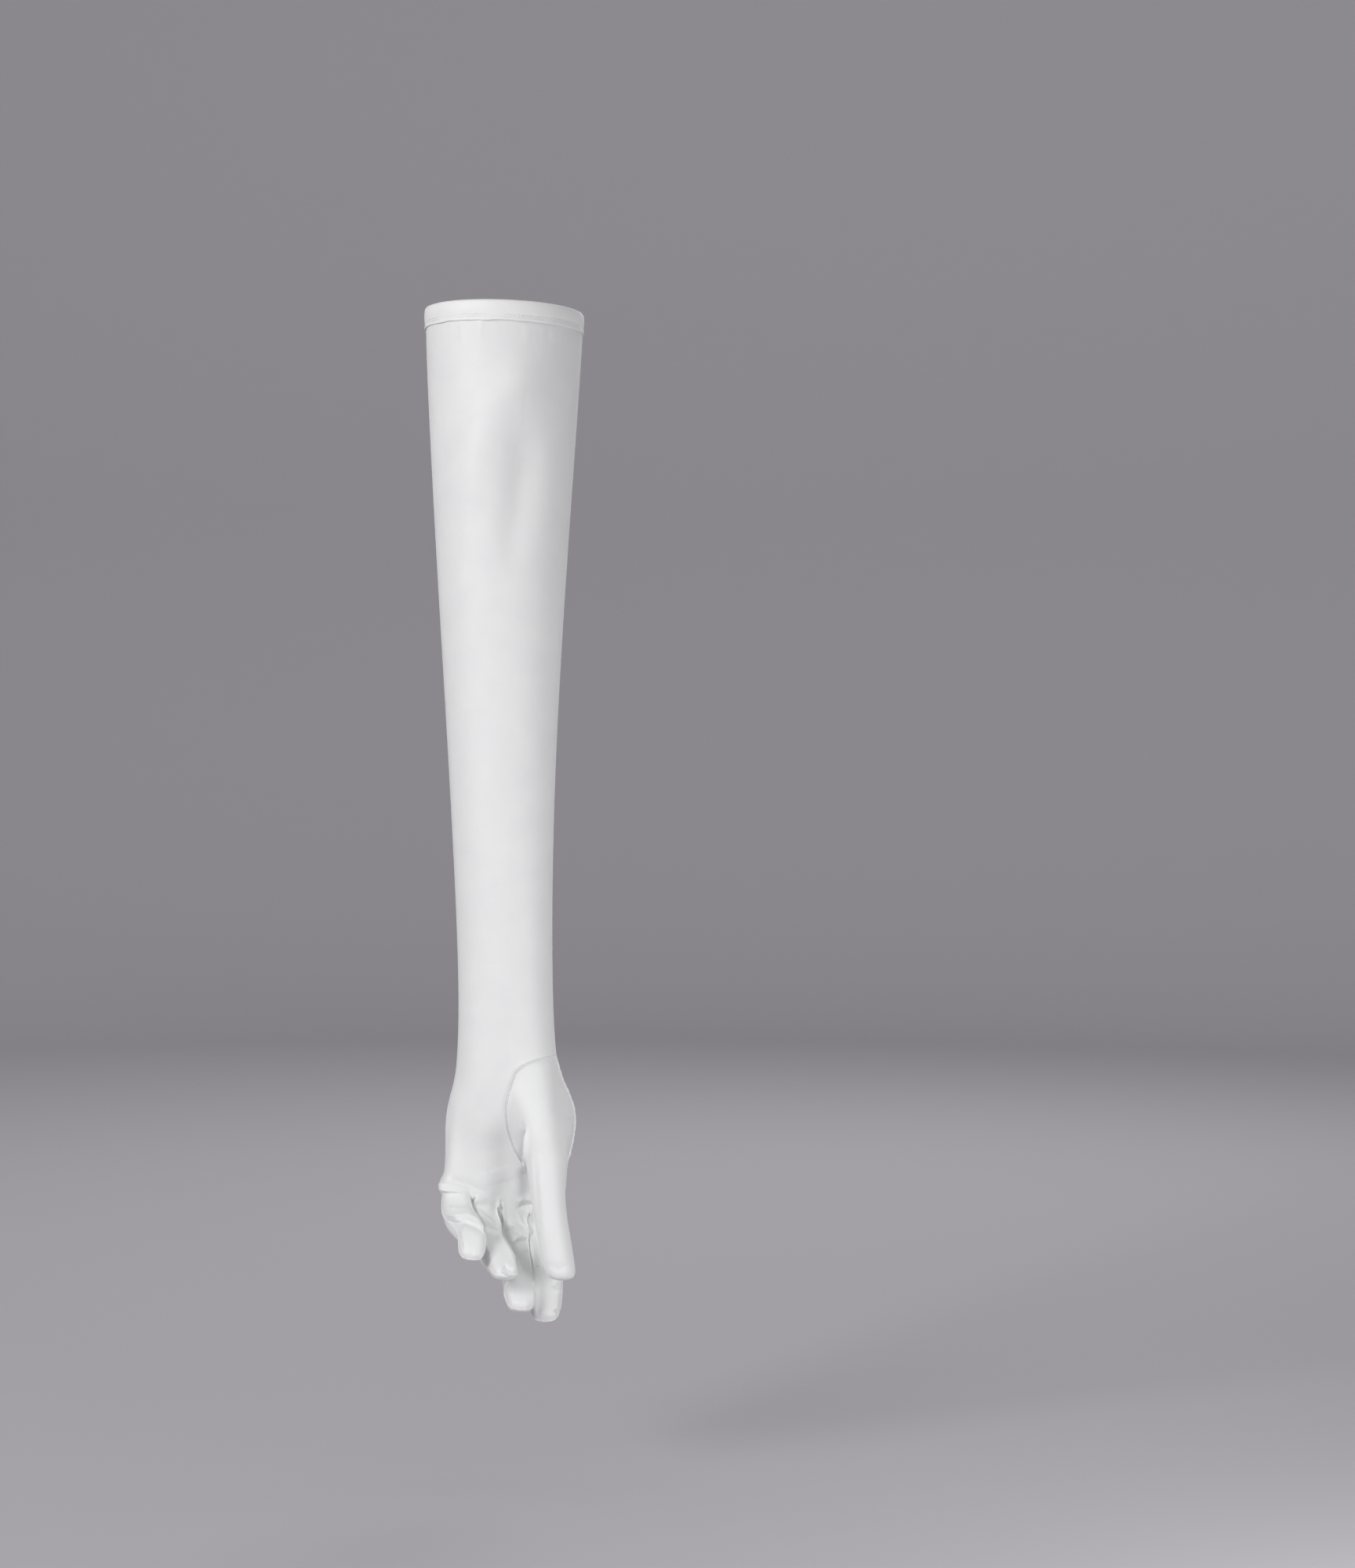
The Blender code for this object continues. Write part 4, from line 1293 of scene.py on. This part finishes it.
# %% Thread
# Spun polyester sewing thread, bleached white.
thread_white = bpy.data.materials.new("white_thread")
thread_white.use_nodes = True
thread_tree = thread_white.node_tree
thread_shader = thread_tree.nodes["Principled BSDF"]
thread_shader.inputs["Roughness"].default_value = 0.62
thread_shader.inputs["Sheen Weight"].default_value = 0.30
thread_place = add_node(thread_tree, "ShaderNodeTexCoord").outputs["Object"]
thread_cloud = add_node(
    thread_tree, "ShaderNodeTexNoise", {"Vector": thread_place}, {"Scale": 900.0, "Detail": 2.0}
)
thread_ramp = add_node(
    thread_tree,
    "ShaderNodeMix",
    {"Factor": thread_cloud.outputs["Fac"]},
    {"A": linear("F4F4F2"), "B": linear("DEDEDC")},
    data_type="RGBA",
)
thread_tree.links.new(thread_ramp.outputs["Result"], thread_shader.inputs["Base Color"])
thread_twist = add_node(
    thread_tree,
    "ShaderNodeBump",
    {"Height": thread_cloud.outputs["Fac"]},
    {"Strength": 0.5, "Distance": 0.0001},
)
thread_tree.links.new(thread_twist.outputs["Normal"], thread_shader.inputs["Normal"])


# %% Stitch tree
THREAD_SEGMENTS = 8
THREAD_RINGS = 5
THREAD_FACES = THREAD_SEGMENTS * THREAD_RINGS


def stitch_tree():
    """A node tree that sews along the edges of a mesh."""
    tree = bpy.data.node_groups.new("stitches", "GeometryNodeTree")
    new_socket = tree.interface.new_socket
    new_socket("Geometry", in_out="INPUT", socket_type="NodeSocketGeometry")
    for name in ("Pitch", "Stitch Length", "Thread Width", "Thread Height"):
        new_socket(name, in_out="INPUT", socket_type="NodeSocketFloat").subtype = "DISTANCE"
    new_socket("Slant", in_out="INPUT", socket_type="NodeSocketFloat").subtype = "ANGLE"
    new_socket("Unevenness", in_out="INPUT", socket_type="NodeSocketFloat").subtype = "FACTOR"
    new_socket("Seed", in_out="INPUT", socket_type="NodeSocketInt")
    new_socket("Thread", in_out="INPUT", socket_type="NodeSocketMaterial")
    new_socket("Geometry", in_out="OUTPUT", socket_type="NodeSocketGeometry")
    given = add_node(tree, "NodeGroupInput").outputs
    line = add_node(tree, "GeometryNodeMeshToCurve", {"Mesh": given["Geometry"]})
    spaced = add_node(
        tree,
        "GeometryNodeResampleCurve",
        {"Curve": line.outputs["Curve"], "Length": given["Pitch"]},
        mode="LENGTH",
    )
    ball = add_node(
        tree,
        "GeometryNodeMeshUVSphere",
        inputs={"Segments": THREAD_SEGMENTS, "Rings": THREAD_RINGS, "Radius": 0.5},
    )
    size = add_node(
        tree,
        "ShaderNodeCombineXYZ",
        {"X": given["Stitch Length"], "Y": given["Thread Width"], "Z": given["Thread Height"]},
    )
    thread = add_node(
        tree,
        "GeometryNodeTransform",
        {"Geometry": ball.outputs["Mesh"], "Scale": size.outputs["Vector"]},
    )
    ways = {}
    for name in ("run", "out"):
        ways[name] = add_node(
            tree, "GeometryNodeInputNamedAttribute", inputs={"Name": name}, data_type="FLOAT_VECTOR"
        ).outputs["Attribute"]
    along = add_node(
        tree, "FunctionNodeAlignRotationToVector", {"Vector": ways["run"]}, axis="X"
    )
    upright = add_node(
        tree,
        "FunctionNodeAlignRotationToVector",
        {"Rotation": along.outputs["Rotation"], "Vector": ways["out"]},
        axis="Z",
        pivot_axis="X",
    )
    wobble = add_node(
        tree,
        "FunctionNodeRandomValue",
        {"Seed": given["Seed"]},
        {"Min": -0.5, "Max": 0.5},
        data_type="FLOAT",
    )
    scatter = add_node(
        tree,
        "ShaderNodeMath",
        {0: wobble.outputs["Value"], 1: given["Unevenness"]},
        operation="MULTIPLY",
    )
    slanted = add_node(
        tree, "ShaderNodeMath", {0: scatter.outputs[0], 1: given["Slant"]}, operation="ADD"
    )
    tilt = add_node(tree, "FunctionNodeAxisAngleToRotation", {"Angle": slanted.outputs[0]})
    tilt.inputs["Axis"].default_value = (0, 0, 1)
    turned = add_node(
        tree,
        "FunctionNodeRotateRotation",
        {"Rotation": upright.outputs["Rotation"], "Rotate By": tilt.outputs["Rotation"]},
        rotation_space="LOCAL",
    )
    grown = add_node(tree, "ShaderNodeMath", {0: scatter.outputs[0]}, operation="ADD")
    grown.inputs[1].default_value = 1.0
    sewn = add_node(
        tree,
        "GeometryNodeInstanceOnPoints",
        {
            "Points": spaced.outputs["Curve"],
            "Instance": thread.outputs["Geometry"],
            "Rotation": turned.outputs["Rotation"],
            "Scale": grown.outputs[0],
        },
    )
    real = add_node(
        tree, "GeometryNodeRealizeInstances", {"Geometry": sewn.outputs["Instances"]}
    )
    finish = add_node(
        tree,
        "GeometryNodeSetMaterial",
        {"Geometry": real.outputs["Geometry"], "Material": given["Thread"]},
    )
    add_node(tree, "NodeGroupOutput", {"Geometry": finish.outputs["Geometry"]})
    return tree


# %% [markdown]
# The lines to sew along carry their two attributes. The row of stitches lies on the rib's crown or
# on the hem's face. After the tree has run, its result is made a plain mesh.

# %% Sewing along lines
SEED = 3
sewing = stitch_tree()


def sew(name, lines, sizes):
    """Stitches along lines, as one plain mesh object. Each line is places, runs and outs."""
    points, edges, runs, outs = [], [], [], []
    for places, run, out in lines:
        first = len(points)
        points.extend(map(tuple, places))
        edges.extend((first + i, first + i + 1) for i in range(len(places) - 1))
        runs.extend(run)
        outs.extend(out)
    mesh = bpy.data.meshes.new(name)
    mesh.from_pydata(points, edges, [])
    for label, vectors in (("run", runs), ("out", outs)):
        layer = mesh.attributes.new(label, "FLOAT_VECTOR", "POINT")
        layer.data.foreach_set("vector", np.array(vectors, dtype=np.float32).ravel())
    piece = bpy.data.objects.new(name, mesh)
    bpy.context.scene.collection.objects.link(piece)
    modifier = piece.modifiers.new("sew", "NODES")
    modifier.node_group = sewing
    wanted = {"Thread": thread_white, "Seed": SEED, **sizes}
    for socket in sewing.interface.items_tree:
        if socket.in_out == "INPUT" and socket.name in wanted:
            modifier[socket.identifier] = wanted[socket.name]
    graph = bpy.context.evaluated_depsgraph_get()
    sewn = bpy.data.meshes.new_from_object(piece.evaluated_get(graph))
    piece.modifiers.clear()
    piece.data = sewn
    sewn.name = name
    bpy.data.meshes.remove(mesh)
    sewn.shade_smooth()
    return piece


# %% Stitches of the hem
HEM_ROWS = (0.0073, 0.0085)
HEM_THREAD_LIFT = 0.00066
HEM_SEWING = {
    "Pitch": 0.0024,
    "Stitch Length": 0.0019,
    "Thread Width": 0.00042,
    "Thread Height": 0.00030,
    "Slant": 0.10,
    "Unevenness": 0.20,
}
hem_feet, hem_outs = hem_frame()
hem_around = np.roll(hem_feet, -1, axis=0) - np.roll(hem_feet, 1, axis=0)
hem_around /= np.linalg.norm(hem_around, axis=1)[:, None]
hem_lines = []
for low in HEM_ROWS:
    row = hem_feet + hem_outs * HEM_THREAD_LIFT - np.array((0, 0, low))
    ring = [np.concatenate((part, part[:1])) for part in (row, hem_around, hem_outs)]
    hem_lines.append(ring)
hem_stitches = sew("hem_stitches", hem_lines, HEM_SEWING)
print("hem stitches:", len(hem_stitches.data.polygons) // THREAD_FACES)

# %% Stitches of the seams
Oversewing = namedtuple("Oversewing", "pitch length lift")
SEWN = {
    "thumb": Oversewing(0.0021, 0.00125, 0.00050),
    "finger": Oversewing(0.0019, 0.00080, 0.00032),
    "side": Oversewing(0.0024, 0.00070, 0.00010),
}
FINE_THREAD = {"Thread Width": 0.00022, "Thread Height": 0.00020, "Slant": 1.15, "Unevenness": 0.35}
seam_stitches = {}
for kind, sewn in SEWN.items():
    lines = []
    for line in seam_runs[kind]:
        run = run_of(line)
        lines.append((line.points + line.normals * sewn.lift, run, line.normals))
    sizes = {"Pitch": sewn.pitch, "Stitch Length": sewn.length, **FINE_THREAD}
    seam_stitches[kind] = sew(f"{kind}_seam_stitches", lines, sizes)
    print(kind, "seam stitches:", len(seam_stitches[kind].data.polygons) // THREAD_FACES)

# %% Tilt of all pieces
for piece in [*panels.values(), *ribs.values(), hem, hem_stitches, *seam_stitches.values()]:
    tilt_mouth(piece)
print("mouth tilted by", round(MOUTH_TILT * CUFF_WIDTH * 1000, 1), "mm across")

# %% [markdown]
# ## Bodies and nodes
#
# Every piece rides on the one body of the frame and stands for its plain solid. The palm and the
# back are one cloth each, so each stands for its sleeve and its hand.

# %% Bodies and nodes
STANDS_FOR = {
    "palm_panel": ("sleeve_palm", "hand_palm"),
    "back_panel": ("sleeve_back", "hand_back"),
}
for name, piece in panels.items():
    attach(piece, "root")
    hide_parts(*STANDS_FOR.get(name, (name,)))
for rib in ribs.values():
    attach(rib, "root")
for thread in [hem_stitches, *seam_stitches.values()]:
    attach(thread, "root")
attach(hem, "root")
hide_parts("cuff_hem")

# %% [markdown]
# A panel's cut size holds the width and length of the piece of satin that it needs, and the area of
# its own outline. Only this form is set down here, and no panel is given one. The cloth stretches
# about a twentieth when the glove is on.

# %% Cut sizes
Cut = namedtuple("Cut", "width length area")

# %% [markdown]
# ## The studio
#
# A plain pale floor sweeps up into a round wall, so that every view has the same quiet backdrop.
# A large soft key light from the left shapes the cloth. A small fill opens the shadows of the hand,
# one light stands in front, one behind, and one is for the wall. The Standard view transform keeps
# the satin's white as it is picked.

# %% Floor and wall
FLOOR_Z = -0.66
FLOOR_RADIUS = 2.6
FLOOR_INNER_RADIUS = 0.6
CURVE_RADIUS = 0.9
WALL_TOP = 2.4
ROOM_SIDES = 96
CURVE_STEPS = 16


def add_sweep():
    """A round floor that curves up into a wall on all sides, in one smooth sheet."""
    profile = [(FLOOR_INNER_RADIUS, FLOOR_Z), (FLOOR_RADIUS, FLOOR_Z)]
    for i in range(1, CURVE_STEPS + 1):
        a = math.pi / 2 * i / CURVE_STEPS
        away = FLOOR_RADIUS + CURVE_RADIUS * math.sin(a)
        profile.append((away, FLOOR_Z + CURVE_RADIUS * (1 - math.cos(a))))
    profile.append((FLOOR_RADIUS + CURVE_RADIUS, WALL_TOP))
    points = [(0.0, 0.0, FLOOR_Z)]
    for side in range(ROOM_SIDES):
        a = 2 * math.pi * side / ROOM_SIDES
        points += [(away * math.cos(a), away * math.sin(a), z) for away, z in profile]
    size = len(profile)
    faces = []
    for side in range(ROOM_SIDES):
        here, there = 1 + side * size, 1 + (side + 1) % ROOM_SIDES * size
        faces.append((0, here, there))
        faces += [(here + i, here + i + 1, there + i + 1, there + i) for i in range(size - 1)]
    return add_mesh("studio_sweep", points, faces)


sweep = add_sweep()
paper = bpy.data.materials.new("studio_paper")
paper.use_nodes = True
paper_shader = paper.node_tree.nodes["Principled BSDF"]
paper_shader.inputs["Base Color"].default_value = linear("B4B1B6")
paper_shader.inputs["Roughness"].default_value = 0.9
sweep.data.materials.append(paper)
sweep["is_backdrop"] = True
print("studio:", len(sweep.data.polygons), "faces")


# %% Lights
def add_light(name, size, power, place, target):
    light = bpy.data.lights.new(name, "AREA")
    light.shape = "RECTANGLE"
    light.size, light.size_y = size
    light.energy = power
    lamp = bpy.data.objects.new(name, light)
    lamp.location = place
    way = np.array(target) - np.array(place)
    lamp.rotation_euler = (
        math.acos(-way[2] / np.linalg.norm(way)),
        0.0,
        math.atan2(way[1], way[0]) - math.pi / 2,
    )
    bpy.context.scene.collection.objects.link(lamp)
    return lamp


add_light("key_light", (1.2, 1.3), 36.5, (-1.6, -1.4, 0.64), (0.0, 0.0, -0.16))
add_light("fill_light", (0.35, 0.35), 2.7, (0.62, -0.56, -0.44), (0.01, 0.0, -0.49))
add_light("front_light", (0.9, 0.5), 4.0, (0.4, -1.9, -0.35), (0.0, 0.4, -0.62))
add_light("back_light", (0.9, 0.9), 6.0, (0.5, 1.5, 0.75), (0.0, 0.0, -0.30))
add_light("wall_light", (3.0, 0.5), 17.0, (0.2, 0.6, 1.5), (0.2, 3.5, 0.3))

# %% Air and view
world = bpy.data.worlds.new("studio_air")
world.use_nodes = True
world.node_tree.nodes["Background"].inputs["Color"].default_value = linear("DCDCDC")
world.node_tree.nodes["Background"].inputs["Strength"].default_value = 0.55
bpy.context.scene.world = world
bpy.context.scene.view_settings.view_transform = "Standard"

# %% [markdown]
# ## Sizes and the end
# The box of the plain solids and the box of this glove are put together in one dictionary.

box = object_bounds()
sizes = {
    "cad": [[float(v) for v in corner] for corner in cad_box],
    "visual": [[float(v) for v in corner] for corner in box],
}
